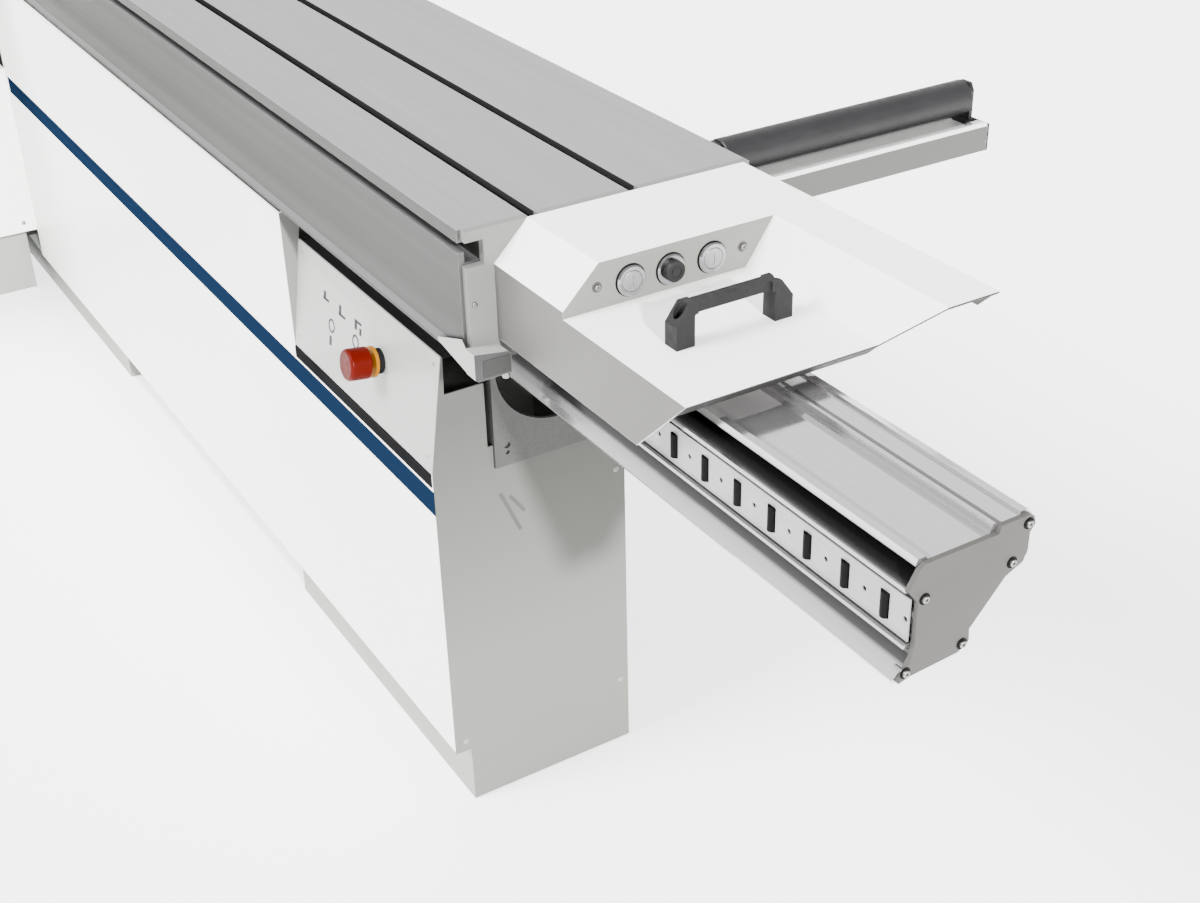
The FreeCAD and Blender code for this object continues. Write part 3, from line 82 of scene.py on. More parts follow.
class Nodes:
    """A new material, with short ways to add and link its shader nodes."""

    def __init__(self, name):
        self.material = bpy.data.materials.new(name)
        self.material.use_nodes = True
        self.tree = self.material.node_tree
        self.shader = self.tree.nodes["Principled BSDF"]
        self.place = self.add("ShaderNodeTexCoord").outputs["Object"]

    def add(self, kind, **values):
        """Adds a node and sets its properties."""
        node = self.tree.nodes.new(kind)
        for key, value in values.items():
            setattr(node, key, value)
        return node

    def link(self, source, target):
        """Joins an output socket to an input socket."""
        self.tree.links.new(source, target)

    def split(self, vector):
        """The three parts of a vector, by axis name."""
        node = self.add("ShaderNodeSeparateXYZ")
        self.link(vector, node.inputs[0])
        return node.outputs

    def noise(self, scale, detail=3.0, stretch=(1, 1, 1), rough=0.5):
        """Noise from 0 to 1 that can be drawn out along an axis."""
        mapping = self.add("ShaderNodeMapping")
        mapping.inputs["Scale"].default_value = stretch
        self.link(self.place, mapping.inputs["Vector"])
        texture = self.add("ShaderNodeTexNoise")
        texture.inputs["Scale"].default_value = scale
        texture.inputs["Detail"].default_value = detail
        texture.inputs["Roughness"].default_value = rough
        self.link(mapping.outputs["Vector"], texture.inputs["Vector"])
        return texture.outputs["Fac"]

    def spread(self, value, low, high, start=0.3, end=0.7):
        """Maps the stretch from start to end onto low to high."""
        node = self.add("ShaderNodeMapRange")
        node.inputs["From Min"].default_value = start
        node.inputs["From Max"].default_value = end
        node.inputs["To Min"].default_value = low
        node.inputs["To Max"].default_value = high
        self.link(value, node.inputs["Value"])
        return node.outputs["Result"]

    def mix(self, factor, first, second):
        """Blends two colours: the first where the factor is 0, the second where it is 1."""
        node = self.add("ShaderNodeMix", data_type="RGBA")
        self.link(factor, node.inputs[MIX_FACTOR])
        for index, value in ((MIX_FIRST, first), (MIX_SECOND, second)):
            if isinstance(value, tuple):
                node.inputs[index].default_value = value
            else:
                self.link(value, node.inputs[index])
        return node.outputs[MIX_RESULT]

    def times(self, first, second):
        """Product of two values, each a socket or a plain number."""
        node = self.add("ShaderNodeMath", operation="MULTIPLY")
        for socket, value in ((node.inputs[0], first), (node.inputs[1], second)):
            if isinstance(value, float):
                socket.default_value = value
            else:
                self.link(value, socket)
        return node.outputs[0]

    def edges(self, radius):
        """One on convex and concave corners, nothing on flat faces. The radius is in mm."""
        bevel = self.add("ShaderNodeBevel", samples=4)
        bevel.inputs["Radius"].default_value = radius * MM
        geometry = self.add("ShaderNodeNewGeometry")
        dot = self.add("ShaderNodeVectorMath", operation="DOT_PRODUCT")
        self.link(bevel.outputs["Normal"], dot.inputs[0])
        self.link(geometry.outputs["Normal"], dot.inputs[1])
        return self.spread(dot.outputs["Value"], 1.0, 0.0, start=0.75, end=0.99)

    def faces(self, axis):
        """One on faces that look along minus X or minus Y, nothing else: the mask for painted
        shade.
        """
        normal = self.split(self.add("ShaderNodeNewGeometry").outputs["Normal"])
        return self.spread(normal[axis], 1.0, 0.0, start=-0.98, end=-0.85)

    def grooves(self, distance, darkest):
        """Painted shade up to darkest deep in slots and corners, nothing on open faces."""
        open_sky = self.add("ShaderNodeAmbientOcclusion", samples=6)
        open_sky.inputs["Distance"].default_value = distance * MM
        return self.spread(open_sky.outputs["AO"], darkest, 0.0, start=0.32, end=0.85)

    def along(self, axis, low, high):
        """Nothing at the low end of a stretch of the machine, one at its high end, in metres."""
        return self.spread(self.split(self.place)[axis], 0.0, 1.0, start=low, end=high)

    def flank_mask(self):
        """One on the beam's left flank and nothing on its top or right side."""
        edge = NEAR_LEFT[0] + FLANK_EDGE_X * MM
        return self.spread(self.split(self.place)["X"], 1.0, 0.0, start=edge, end=edge + MM)

    def height_bands(self, bands):
        """Painted light and shade by height: bands are (height in mm, level), from low to high."""
        low, high = bands[0][0] * MM, (bands[-1][0] + 10) * MM
        ramp = self.add("ShaderNodeValToRGB")
        ramp.color_ramp.interpolation = "LINEAR"
        elements = ramp.color_ramp.elements
        elements[0].position = 0.0
        elements[0].color = grey(bands[0][1])
        elements.remove(elements[-1])
        for height, level in bands[1:]:
            element = elements.new((height * MM - low) / (high - low))
            element.color = grey(level)
        self.link(self.along("Z", low, high), ramp.inputs["Fac"])
        return ramp.outputs["Color"]

    def bump(self, height, strength, distance):
        """Raises the surface by the height value, at most by the distance in mm."""
        node = self.add("ShaderNodeBump")
        node.inputs["Strength"].default_value = strength
        node.inputs["Distance"].default_value = distance * MM
        self.link(height, node.inputs["Height"])
        self.link(node.outputs["Normal"], self.shader.inputs["Normal"])

    def colour(self, value):
        """Sets the base colour from a socket."""
        self.link(value, self.shader.inputs["Base Color"])

    def roughness(self, value):
        """Sets the roughness from a socket."""
        self.link(value, self.shader.inputs["Roughness"])

    def settings(self, **values):
        """Sets plain numbers of the shader, by input name with _ for a space."""
        for key, value in values.items():
            self.shader.inputs[key.replace("_", " ")].default_value = value


def powder_coat(name, colour, rough=0.42, coat=0.15, specular=0.3, left_face_shade=None, near_face_shade=None,
                painted_shade_top=None):
    """Painted sheet metal or dull alloy: orange peel, faint blotches and rubbed corners.

    left_face_shade and near_face_shade are painted shade on faces that look that way, and
    painted_shade_top is the stretch of height, in metres, over which painted shade darkens the
    paint.
    """
    n = Nodes(name)
    blotches = n.spread(n.noise(2.2, detail=4.0), 0.0, 1.0)
    base = n.mix(blotches, scaled(colour, 0.965), scaled(colour, 1.02))
    dust = n.spread(n.noise(38.0, detail=5.0, rough=0.65), 0.0, 0.35, start=0.52, end=0.8)
    base = n.mix(dust, base, scaled(colour, 0.93))
    # Painted shade: darker copies of the paint on faces that look along minus X or minus Y.
    if left_face_shade:
        base = n.mix(n.faces("X"), base, left_face_shade)
    if near_face_shade:
        base = n.mix(n.faces("Y"), base, near_face_shade)
    # Painted shade, darkening the paint towards the top.
    if painted_shade_top:
        base = n.mix(n.along("Z", *painted_shade_top), base, scaled(colour, 0.5))
    rubbed = n.times(n.edges(1.2), n.spread(n.noise(60.0), 0.15, 0.8, start=0.35, end=0.65))
    n.colour(n.mix(rubbed, base, scaled(colour, 0.78)))
    n.roughness(n.spread(n.noise(9.0, detail=4.0), rough - 0.06, rough + 0.08))
    n.bump(n.noise(650.0, detail=2.0), strength=0.10, distance=0.4)
    n.settings(Coat_Weight=coat, Coat_Roughness=0.3, Specular_IOR_Level=specular)
    return n.material


def extruded(name, colour, rough, metallic, specular=0.25, left_face_shade=None, left_far_shade=None,
             near_face_shade=None, flank_shading=None):
    """Anodised profile with die lines along its length and painted shade in its grooves.

    left_face_shade is painted shade on the left faces and fades to left_far_shade along the
    machine, near_face_shade is painted shade on the near end, and flank_shading holds the
    painted light and shade, as grey levels, up the beam's left flank.
    """
    n = Nodes(name)
    lengthways = (1.0, 0.004, 1.0)
    streak = 0.07
    lines = n.noise(900.0, detail=2.0, stretch=lengthways)
    bands = n.noise(45.0, stretch=lengthways)
    base = n.mix(n.spread(lines, 0.0, 1.0), scaled(colour, 1 - streak), scaled(colour, 1 + streak))
    base = n.mix(n.spread(bands, 0.0, 0.5), base, scaled(colour, 1 - 1.6 * streak))
    stains = n.spread(n.noise(6.0, detail=5.0, rough=0.6), 0.0, 0.35, start=0.5, end=0.8)
    base = n.mix(stains, base, scaled(colour, 0.88))
    # Painted shade on the left faces, darker towards the far end.
    if left_face_shade:
        fade = n.along("Y", NEAR_LEFT[1] + FADE_START_Y, NEAR_LEFT[1] + FADE_END_Y)
        side = n.mix(fade, left_face_shade, left_far_shade)
        side = n.mix(stains, side, scaled(left_face_shade, 0.7))
        base = n.mix(n.faces("X"), base, side)
    # Painted shade on the near end.
    if near_face_shade:
        base = n.mix(n.faces("Y"), base, near_face_shade)
    # Paler edges: partly wear, partly painted highlight.
    edge_wear_and_highlight_patches = n.spread(n.noise(80.0, detail=2.0), 0.3, 0.9, start=0.35, end=0.65)
    base = n.mix(n.times(n.edges(0.9), edge_wear_and_highlight_patches), base, scaled(colour, 1.45))
    # Painted light and shade in grey bands up the beam's left flank.
    if flank_shading:
        base = n.mix(n.flank_mask(), base, n.height_bands(flank_shading))
    # Painted shade deep in the profile's slots and corners.
    painted_groove_shade = n.grooves(30, darkest=0.45 if flank_shading else 0.86)
    n.colour(n.mix(painted_groove_shade, base, scaled(colour, 0.04)))
    n.roughness(n.spread(bands, rough - 0.05, rough + 0.07))
    n.bump(lines, strength=0.12, distance=0.3)
    n.settings(Metallic=metallic, Specular_IOR_Level=specular)
    return n.material


def machined(name, colour, rough=0.3, metallic=0.95, grain=(1.0, 1.0, 0.02), edge_wear_and_highlight=1.3):
    """Ground or turned steel with fine marks drawn out along the grain's smallest number."""
    n = Nodes(name)
    marks = n.noise(1200.0, detail=2.0, stretch=grain)
    base = n.mix(n.spread(marks, 0.0, 1.0), scaled(colour, 0.88), scaled(colour, 1.1))
    tarnish = n.spread(n.noise(25.0, detail=4.0, rough=0.6), 0.0, 0.4, start=0.5, end=0.8)
    base = n.mix(tarnish, base, scaled(colour, 0.78))
    # Paler edges: partly wear, partly painted highlight.
    n.colour(n.mix(n.times(n.edges(0.6), 0.7), base, scaled(colour, edge_wear_and_highlight)))
    n.roughness(n.spread(n.noise(60.0), rough - 0.05, rough + 0.1))
    n.bump(marks, strength=0.1, distance=0.2)
    n.settings(Metallic=metallic)
    return n.material


def moulded(name, colour, rough=0.5, grain=1500.0, depth=0.25, edge_wear_and_highlight=1.8, specular=0.25):
    """Moulded plastic with a fine spark-eroded grain; paler corners, part wear, part painted
    highlight.
    """
    n = Nodes(name)
    shade = n.spread(n.noise(14.0), 0.0, 1.0)
    base = n.mix(shade, scaled(colour, 0.9), scaled(colour, 1.12))
    # Paler corners: partly wear, partly painted highlight.
    n.colour(n.mix(n.times(n.edges(0.8), 0.35), base, scaled(colour, edge_wear_and_highlight)))
    n.roughness(n.spread(n.noise(120.0), rough - 0.07, rough + 0.1))
    n.bump(n.noise(grain, detail=2.0), strength=depth, distance=0.3)
    n.settings(Specular_IOR_Level=specular)
    return n.material


def casting(name, colour, rough=0.6):
    """Painted casting: coarse sand texture under the paint."""
    n = Nodes(name)
    sand = n.noise(260.0, detail=5.0, rough=0.65)
    shade = n.spread(n.noise(7.0, detail=4.0), 0.0, 1.0)
    base = n.mix(shade, scaled(colour, 0.85), scaled(colour, 1.15))
    # Paler edges: partly wear, partly painted highlight.
    n.colour(n.mix(n.times(n.edges(1.5), n.noise(70.0)), base, scaled(colour, 2.0)))
    n.roughness(n.spread(sand, rough - 0.08, rough + 0.12))
    n.bump(sand, strength=0.35, distance=0.8)
    return n.material


def clear_plastic(name, colour):
    """See-through plastic with faint ripples and smears."""
    n = Nodes(name)
    n.colour(n.mix(n.spread(n.noise(8.0), 0.0, 1.0), scaled(colour, 0.95), colour))
    n.roughness(n.spread(n.noise(40.0, detail=4.0), 0.06, 0.16, start=0.3, end=0.75))
    n.bump(n.noise(30.0), strength=0.03, distance=0.4)
    n.settings(Transmission_Weight=0.85, Alpha=0.55, IOR=1.49)
    return n.material


# Painted light and shade up the beam's left flank: lower flange, hollow, lower rib, dark seat of
# the guide bar, upper rib, groove and top corner.
BEAM_FLANK_SHADING = (
    (675, 0.30), (683, 0.55), (692, 0.50), (694.5, 0.08), (706, 0.04), (709, 0.07), (711, 0.30),
    (716, 0.30), (717, 0.08), (759, 0.03), (765, 0.07), (768, 0.30), (772, 0.34), (773.5, 0.10),
    (777, 0.03), (787, 0.03), (789.5, 0.10), (791.5, 0.40), (797, 0.50),
)

# Painted metal and dull alloy.
WHITE = powder_coat("white_coat", linear(230, 231, 228))
# Painted shade on the side panel's near faces, such as the step of the recess.
SIDE_WHITE = powder_coat("side_panel_coat", linear(230, 231, 228),
                         near_face_shade=linear(104, 105, 102))
# Painted shade: the control panel's white paint is darkened for the shade it sits in.
PANEL_WHITE = powder_coat("control_panel_coat", linear(138, 139, 136))
# Painted shade on the hood's left wall and on its near faces, the button face among them.
HOOD_WHITE = powder_coat("hood_coat", linear(240, 240, 238), rough=0.42, specular=0.15,
                         left_face_shade=linear(78, 77, 75), near_face_shade=linear(108, 108, 104))
GREY = powder_coat("grey_coat", linear(128, 131, 125), rough=0.5, coat=0.0)
# Painted shade: the base covers' paint is darkened for the shade on the end cover,
# and painted_shade_top darkens it further towards the top.
COVER = powder_coat("end_cover_coat", linear(101, 103, 98), rough=0.5, coat=0.0, specular=0.1,
                    painted_shade_top=(0.22, 0.58))
STRIPE = powder_coat("blue_stripe", (0.0042, 0.0112, 0.027, 1.0), rough=0.7, coat=0.0,
                     specular=0.0)
PLATE = powder_coat("plate_alloy", linear(98, 98, 96), rough=0.4, coat=0.0)
# Painted shade on the wiper block's near face.
WIPER = powder_coat("wiper_block", linear(136, 136, 134), rough=0.5, coat=0.0,
                    near_face_shade=linear(48, 48, 48))
CAP = powder_coat("cap_alloy", linear(60, 58, 56), rough=0.5, coat=0.0)
COVER_STROKE = powder_coat("cover_stroke_coat", linear(58, 61, 56), rough=0.6, coat=0.0)

# Profiles.
# Painted shade on the carriage's left faces, darker towards the far end, and on its near end.
CARRIAGE = extruded("carriage_anodised", linear(124, 124, 124), rough=0.46, metallic=0.25,
                    specular=0.1, left_face_shade=linear(54, 54, 53), left_far_shade=linear(32, 32, 31),
                    near_face_shade=linear(84, 84, 82))
# Painted shade on the outrigger's near faces.
OUTRIGGER = extruded("outrigger_anodised", linear(222, 223, 220), rough=0.4, metallic=0.1,
                     near_face_shade=linear(72, 73, 70))
BEAM = extruded("beam_anodised", linear(192, 190, 191), rough=0.12, metallic=0.92,
                flank_shading=BEAM_FLANK_SHADING)

# Bare metal and castings.
GROUND = machined("ground_steel", linear(150, 150, 152), rough=0.22, metallic=0.9,
                  grain=(1.0, 0.01, 1.0))
ZINC = machined("zinc_steel", linear(130, 130, 128))
BLADE = machined("blade_steel", linear(160, 161, 164), rough=0.2)
CHROME = machined("chrome_ring", linear(150, 150, 152), rough=0.14, metallic=1.0,
                  grain=(0.1, 1.0, 0.1), edge_wear_and_highlight=1.1)
SILVER = machined("silver_cap", linear(140, 140, 140), metallic=0.8, grain=(1.0, 1.0, 0.05),
                  edge_wear_and_highlight=1.1)
STRIP = machined("cage_strip", linear(140, 140, 140), rough=0.4, metallic=0.3,
                 grain=(1.0, 0.02, 1.0), edge_wear_and_highlight=1.1)
TABLE = machined("ground_casting", linear(120, 120, 122), rough=0.34, metallic=0.6,
                 grain=(0.02, 1.0, 1.0), edge_wear_and_highlight=1.2)
IRON = casting("grey_casting", linear(62, 62, 59))
BRACKET = casting("bracket_casting", linear(42, 42, 40))

# Plastic, rubber and other dark parts.
BLACK = moulded("black_plastic", linear(16, 16, 17))
CHARCOAL = moulded("charcoal_plastic", linear(26, 26, 27), rough=0.55, specular=0.12)
RED = moulded("red_plastic", (0.055, 0.0018, 0.0004, 1.0), rough=0.35, grain=900.0, depth=0.12,
              edge_wear_and_highlight=1.2, specular=0.06)
YELLOW = moulded("yellow_plastic", (0.20, 0.075, 0.001, 1.0), rough=0.4, grain=900.0, depth=0.12,
                 edge_wear_and_highlight=1.1, specular=0.06)
RUBBER = moulded("black_rubber", linear(14, 14, 14), rough=0.75, grain=700.0, depth=0.4, edge_wear_and_highlight=1.4,
                 specular=0.1)
TRIM_AND_SHADE = moulded("black_trim_and_shade", linear(22, 22, 23), rough=0.7, grain=700.0, depth=0.2, edge_wear_and_highlight=1.4,
               specular=0.0)
DARK_GREY = moulded("dark_grey_plastic", linear(44, 44, 43), rough=0.6, grain=700.0, depth=0.3,
                    edge_wear_and_highlight=1.3, specular=0.15)
ROLLER = moulded("roller_sleeve", linear(27, 27, 28), rough=0.42, grain=500.0, depth=0.1,
                 edge_wear_and_highlight=1.5, specular=0.2)
# Blackened steel; on the cage rollers its near-black stands partly for painted shade.
BLACKENED_AND_SHADED = moulded("blackened_and_shaded_steel", linear(9, 9, 10), grain=900.0, depth=0.1, edge_wear_and_highlight=1.3,
                    specular=0.04)
INK = moulded("printed_ink", linear(52, 53, 54), rough=0.7, grain=400.0, depth=0.05, edge_wear_and_highlight=1.1,
              specular=0.05)
GUARD = clear_plastic("clear_guard", linear(222, 228, 232))

NODE_MATERIALS = {
    OUTRIGGER: ["outrigger_profile", "crosscut_fence", "fence_pivot_block", "rip_fence"],
    CARRIAGE: ["carriage_profile"],
    PLATE: ["carriage_end_plates", "table_insert"],
    WIPER: ["carriage_wipers"],
    HOOD_WHITE: ["control_hood"],
    SIDE_WHITE: ["side_panel"],
    PANEL_WHITE: ["control_panel"],
    COVER: ["base_covers"],
    WHITE: ["main_cabinet", "cabinet_side", "cabinet_door"],
    GREY: ["plinth_feet", "base_frame", "cabinet_plinth", "extension_leaf", "guard_support"],
    STRIPE: ["side_stripe"],
    BEAM: ["fixed_beam"],
    CAP: ["beam_end_caps"],
    GROUND: ["carriage_guide_rails", "beam_guide_rails", "fence_rail_bar"],
    # The cage rollers take this near-black steel partly as painted shade in the cage's windows.
    BLACKENED_AND_SHADED: ["cage_rollers"],
    STRIP: ["roller_cage_strips"],
    ZINC: ["carriage_screws", "beam_cap_screws", "roller_axle", "saw_arbor", "scoring_arbor",
           "motor_pulley", "dust_port"],
    BLADE: ["saw_blade", "scoring_blade", "riving_knife"],
    CHROME: ["button_bezels"],
    SILVER: ["start_button", "scoring_button"],
    # panel_trim's dark backing in the gap above the control panel is painted shade; the stop's
    # collar is black.
    TRIM_AND_SHADE: ["panel_trim"],
    BLACK: ["stop_button", "outrigger_fittings", "flip_stop",
            "fence_lock_lever", "tilt_handwheel", "lift_handwheel"],
    CHARCOAL: ["bridge_handle"],
    RED: ["estop_button"],
    YELLOW: ["estop_yellow_ring"],
    RUBBER: ["drive_belt"],
    ROLLER: ["outrigger_roller"],
    TABLE: ["main_table"],
    BRACKET: ["beam_saddles"],
    IRON: ["trunnions", "tilt_frame", "lift_carrier", "motor"],
    GUARD: ["guard_hood"],
}

# Width in millimetres of the rounded edges of CAD pieces.
ROUNDED_EDGES = {
    "control_hood": 0.8, "carriage_end_plates": 0.5, "side_panel": 0.5, "base_covers": 0.5,
    "bridge_handle": 2.2, "outrigger_profile": 0.6, "main_table": 1.2, "rip_fence": 1.0,
    "crosscut_fence": 0.8, "guard_support": 3.0, "cabinet_door": 0.6, "flip_stop": 1.2,
    "beam_end_caps": 0.8, "guard_hood": 1.2, "plinth_feet": 0.6, "cabinet_plinth": 0.8,
    "extension_leaf": 0.8, "beam_saddles": 0.8,
}
SHARP_ANGLE = math.radians(35)


def paint_cad_pieces():
    """Gives every CAD piece its material."""
    for material, names in NODE_MATERIALS.items():
        for name in names:
            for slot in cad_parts[name].material_slots:
                slot.material = material


def round_cad_edges():
    """Rounds the sharp edges of some CAD pieces by a small real bevel."""
    for name, width in ROUNDED_EDGES.items():
        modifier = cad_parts[name].modifiers.new("rounded_edges", "BEVEL")
        modifier.width = width * MM
        modifier.segments = 2
        modifier.limit_method = "ANGLE"
        modifier.angle_limit = SHARP_ANGLE
        modifier.harden_normals = True


# ---- mesh helpers -------------------------------------------------------------------
ON_AXIS = 1e-6          # in mm, a turned profile's radius below this is one point
BELOW_FACE = -0.3       # in mm, how far the foot of a screw head is sunk into its seat


def to_mesh(name, bm):
    """Turns a finished bmesh into mesh data."""
    bmesh.ops.recalc_face_normals(bm, faces=bm.faces)
    mesh = bpy.data.meshes.new(name)
    bm.to_mesh(mesh)
    bm.free()
    return mesh


def add_piece(name, bm, material, body):
    """Makes a bmesh a named piece with a material that moves with a body."""
    mesh = to_mesh(name, bm)
    piece = bpy.data.objects.new(name, mesh)
    bpy.context.scene.collection.objects.link(piece)
    mesh.materials.append(material)
    for polygon in mesh.polygons:
        polygon.use_smooth = True
    mesh.set_sharp_from_angle(angle=SHARP_ANGLE)
    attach(piece, body)


def facing(direction):
    """Rotation that turns +Z to the given direction."""
    turn = Vector((0, 0, 1)).rotation_difference(Vector(direction).normalized())
    return turn.to_matrix().to_4x4()


def add_turned(bm, profile, centre, direction, steps):
    """Adds a turned solid: profile is (radius, height) in mm from the axis foot to its tip."""
    place = Matrix.Translation(centre) @ facing(direction)
    rings = []
    for radius, height in profile:
        if radius < ON_AXIS:
            rings.append([bm.verts.new(place @ Vector((0, 0, height * MM)))])
            continue
        angles = [2 * math.pi * i / steps for i in range(steps)]
        rings.append([bm.verts.new(place @ Vector((radius * MM * math.cos(angle),
                                                   radius * MM * math.sin(angle),
                                                   height * MM))) for angle in angles])
    for low, high in zip(rings, rings[1:]):
        for i in range(steps):
            j = (i + 1) % steps
            if len(low) == 1:
                bm.faces.new((low[0], high[j], high[i]))
            elif len(high) == 1:
                bm.faces.new((low[i], low[j], high[0]))
            else:
                bm.faces.new((low[i], low[j], high[j], high[i]))


def add_block(bm, low, high, bevel=0.0, turn=None):
    """Adds a box between two corners in the row frame, turned about its middle if asked."""
    low, high = Vector(low), Vector(high)
    size, middle = high - low, (high + low) / 2
    corners = bmesh.ops.create_cube(bm, size=1.0)["verts"]
    for corner in corners:
        offset = Vector([part * length for part, length in zip(corner.co, size)])
        corner.co = middle + (turn @ offset if turn else offset)
    if bevel:
        edges = list({edge for corner in corners for edge in corner.link_edges})
        bmesh.ops.bevel(bm, geom=corners + edges, offset=bevel * MM, segments=2, profile=0.6,
                        affect="EDGES")


def turned(name, items, material, body, steps=32):
    """One piece made of several turned solids: items are (profile, centre, direction)."""
    bm = bmesh.new()
    for profile, centre, direction in items:
        add_turned(bm, profile, centre, direction, steps)
    add_piece(name, bm, material, body)


def blocks(name, items, material, body, bevel):
    """One piece made of several boxes with a bevel in mm: items are (low, high) corners."""
    bm = bmesh.new()
    for low, high in items:
        add_block(bm, low, high, bevel)
    add_piece(name, bm, material, body)


def socket_head(radius, height):
    """Profile of a socket-head screw: domed rim and a sunk drive."""
    return [(0, BELOW_FACE), (radius, BELOW_FACE), (radius, height * 0.7), (radius * 0.86, height),
            (radius * 0.52, height), (radius * 0.46, height * 0.35), (0, height * 0.3)]


def washer_head(radius, height):
    """Profile of a flanged button-head screw."""
    return [(0, BELOW_FACE), (radius, BELOW_FACE), (radius, height * 0.3),
            (radius * 0.72, height * 0.42), (radius * 0.62, height * 0.85),
            (radius * 0.4, height), (radius * 0.26, height), (radius * 0.22, height * 0.5),
            (0, height * 0.45)]


def ring(radius, width, height):
    """Profile of a flat washer."""
    return [(radius - width, -0.2), (radius - width, height), (radius, height), (radius, -0.2)]


def knob(radius, height):
    """Profile of a clamping knob with a waisted stem."""
    return [(0, 0), (radius * 0.4, 0), (radius * 0.36, height * 0.4),
            (radius * 0.92, height * 0.5), (radius, height * 0.6), (radius, height * 0.85),
            (radius * 0.85, height), (0, height)]


def heads(name, places, direction, size, material, body, profile=socket_head):
    """One piece of equal screw heads. The size is (radius, height) in mm."""
    items = [(profile(*size), place, direction) for place in places]
    turned(name, items, material, body, steps=24)


def edge_strip(name, path, material, body):
    """Thin band along an edge: path holds pairs of upper and lower corners in mm."""
    thickness = Vector((0, -0.8, -0.8))
    bm = bmesh.new()
    rows = []
    for upper, lower in path:
        upper, lower = Vector(upper), Vector(lower)
        corners = (upper, lower, lower + thickness, upper + thickness)
        rows.append([bm.verts.new(at(*corner)) for corner in corners])
    for first, second in zip(rows, rows[1:]):
        for i in range(4):
            j = (i + 1) % 4
            bm.faces.new((first[i], first[j], second[j], second[i]))
    bm.faces.new(rows[0])
    bm.faces.new(rows[-1][::-1])
    add_piece(name, bm, material, body)


# ---- camera -------------------------------------------------------------------------
CAMERA_PLACE = at(-692.6, -1421.4, 1539.7)
CAMERA_AZIMUTH = math.radians(-30.901)
CAMERA_ELEVATION = math.radians(30.553)
CAMERA_ROLL = math.radians(-1.469)
CAMERA_LENS = 50.27
SENSOR_WIDTH = 36.0
CLIP_END = 50.0


def place_camera():
    """Puts the camera where the photo's was."""
    back = Vector((math.sin(CAMERA_AZIMUTH) * math.cos(CAMERA_ELEVATION),
                   -math.cos(CAMERA_AZIMUTH) * math.cos(CAMERA_ELEVATION),
                   math.sin(CAMERA_ELEVATION)))
    level_right = Vector((0, 0, 1)).cross(back).normalized()
    level_up = back.cross(level_right)
    right = math.cos(CAMERA_ROLL) * level_right + math.sin(CAMERA_ROLL) * level_up
    up = -math.sin(CAMERA_ROLL) * level_right + math.cos(CAMERA_ROLL) * level_up
    data = bpy.data.cameras.new("camera")
    data.lens = CAMERA_LENS
    data.sensor_width = SENSOR_WIDTH
    data.clip_end = CLIP_END
    camera = bpy.data.objects.new("camera", data)
    bpy.context.scene.collection.objects.link(camera)
    turn = Matrix((right, up, back)).transposed().to_4x4()
    camera.matrix_world = Matrix.Translation(CAMERA_PLACE) @ turn
    bpy.context.scene.camera = camera


# ---- floor and light ----------------------------------------------------------------
FLOOR_SIZE = 40.0
FLOOR_GLOW = 1.1                    # keeps the floor white, as the photo's background is
SKY_DARKEST, SKY_BRIGHTEST = 0.85, 2.1
SOFTBOX_EDGE = 0.55                 # how far towards +Y the sky reaches its brightest
# Name, direction it comes from, strength, and angle in degrees it fills.
SUNS = (("key", (-0.76, 0.12, 0.66), 9.0, 24), ("front", (-0.145, -0.90, 0.44), 12.0, 3.0))


def add_floor():
    """A bright white floor that runs out of sight on all sides."""
    bm = bmesh.new()
    bmesh.ops.create_grid(bm, x_segments=2, y_segments=2, size=FLOOR_SIZE)
    mesh = to_mesh("floor", bm)
    floor = bpy.data.objects.new("floor", mesh)
    bpy.context.scene.collection.objects.link(floor)
    n = Nodes("floor_paint")
    n.colour(n.mix(n.noise(0.8, detail=2.0), grey(0.88), grey(0.91)))
    n.settings(Roughness=0.9, Emission_Color=grey(1.0), Emission_Strength=FLOOR_GLOW)
    mesh.materials.append(n.material)


def add_sky():
    """White surroundings that are brighter towards the far end, as from a large softbox."""
    world = bpy.data.worlds.new("studio")
    world.use_nodes = True
    tree = world.node_tree
    background = tree.nodes["Background"]
    direction = tree.nodes.new("ShaderNodeTexCoord").outputs["Generated"]
    split = tree.nodes.new("ShaderNodeSeparateXYZ")
    tree.links.new(direction, split.inputs[0])
    softbox = tree.nodes.new("ShaderNodeMapRange")
    softbox.interpolation_type = "SMOOTHSTEP"
    softbox.inputs["From Min"].default_value = 0.0
    softbox.inputs["From Max"].default_value = SOFTBOX_EDGE
    softbox.inputs["To Min"].default_value = SKY_DARKEST
    softbox.inputs["To Max"].default_value = SKY_BRIGHTEST
    tree.links.new(split.outputs["Y"], softbox.inputs["Value"])
    tree.links.new(softbox.outputs["Result"], background.inputs["Strength"])
    background.inputs["Color"].default_value = grey(1.0)
    bpy.context.scene.world = world


def add_suns():
    """The two lamps that throw the photo's highlights."""
    for name, direction, strength, angle in SUNS:
        data = bpy.data.lights.new(name, "SUN")
        data.energy = strength
        data.angle = math.radians(angle)
        lamp = bpy.data.objects.new(name, data)
        lamp.matrix_world = facing(direction)
        bpy.context.scene.collection.objects.link(lamp)


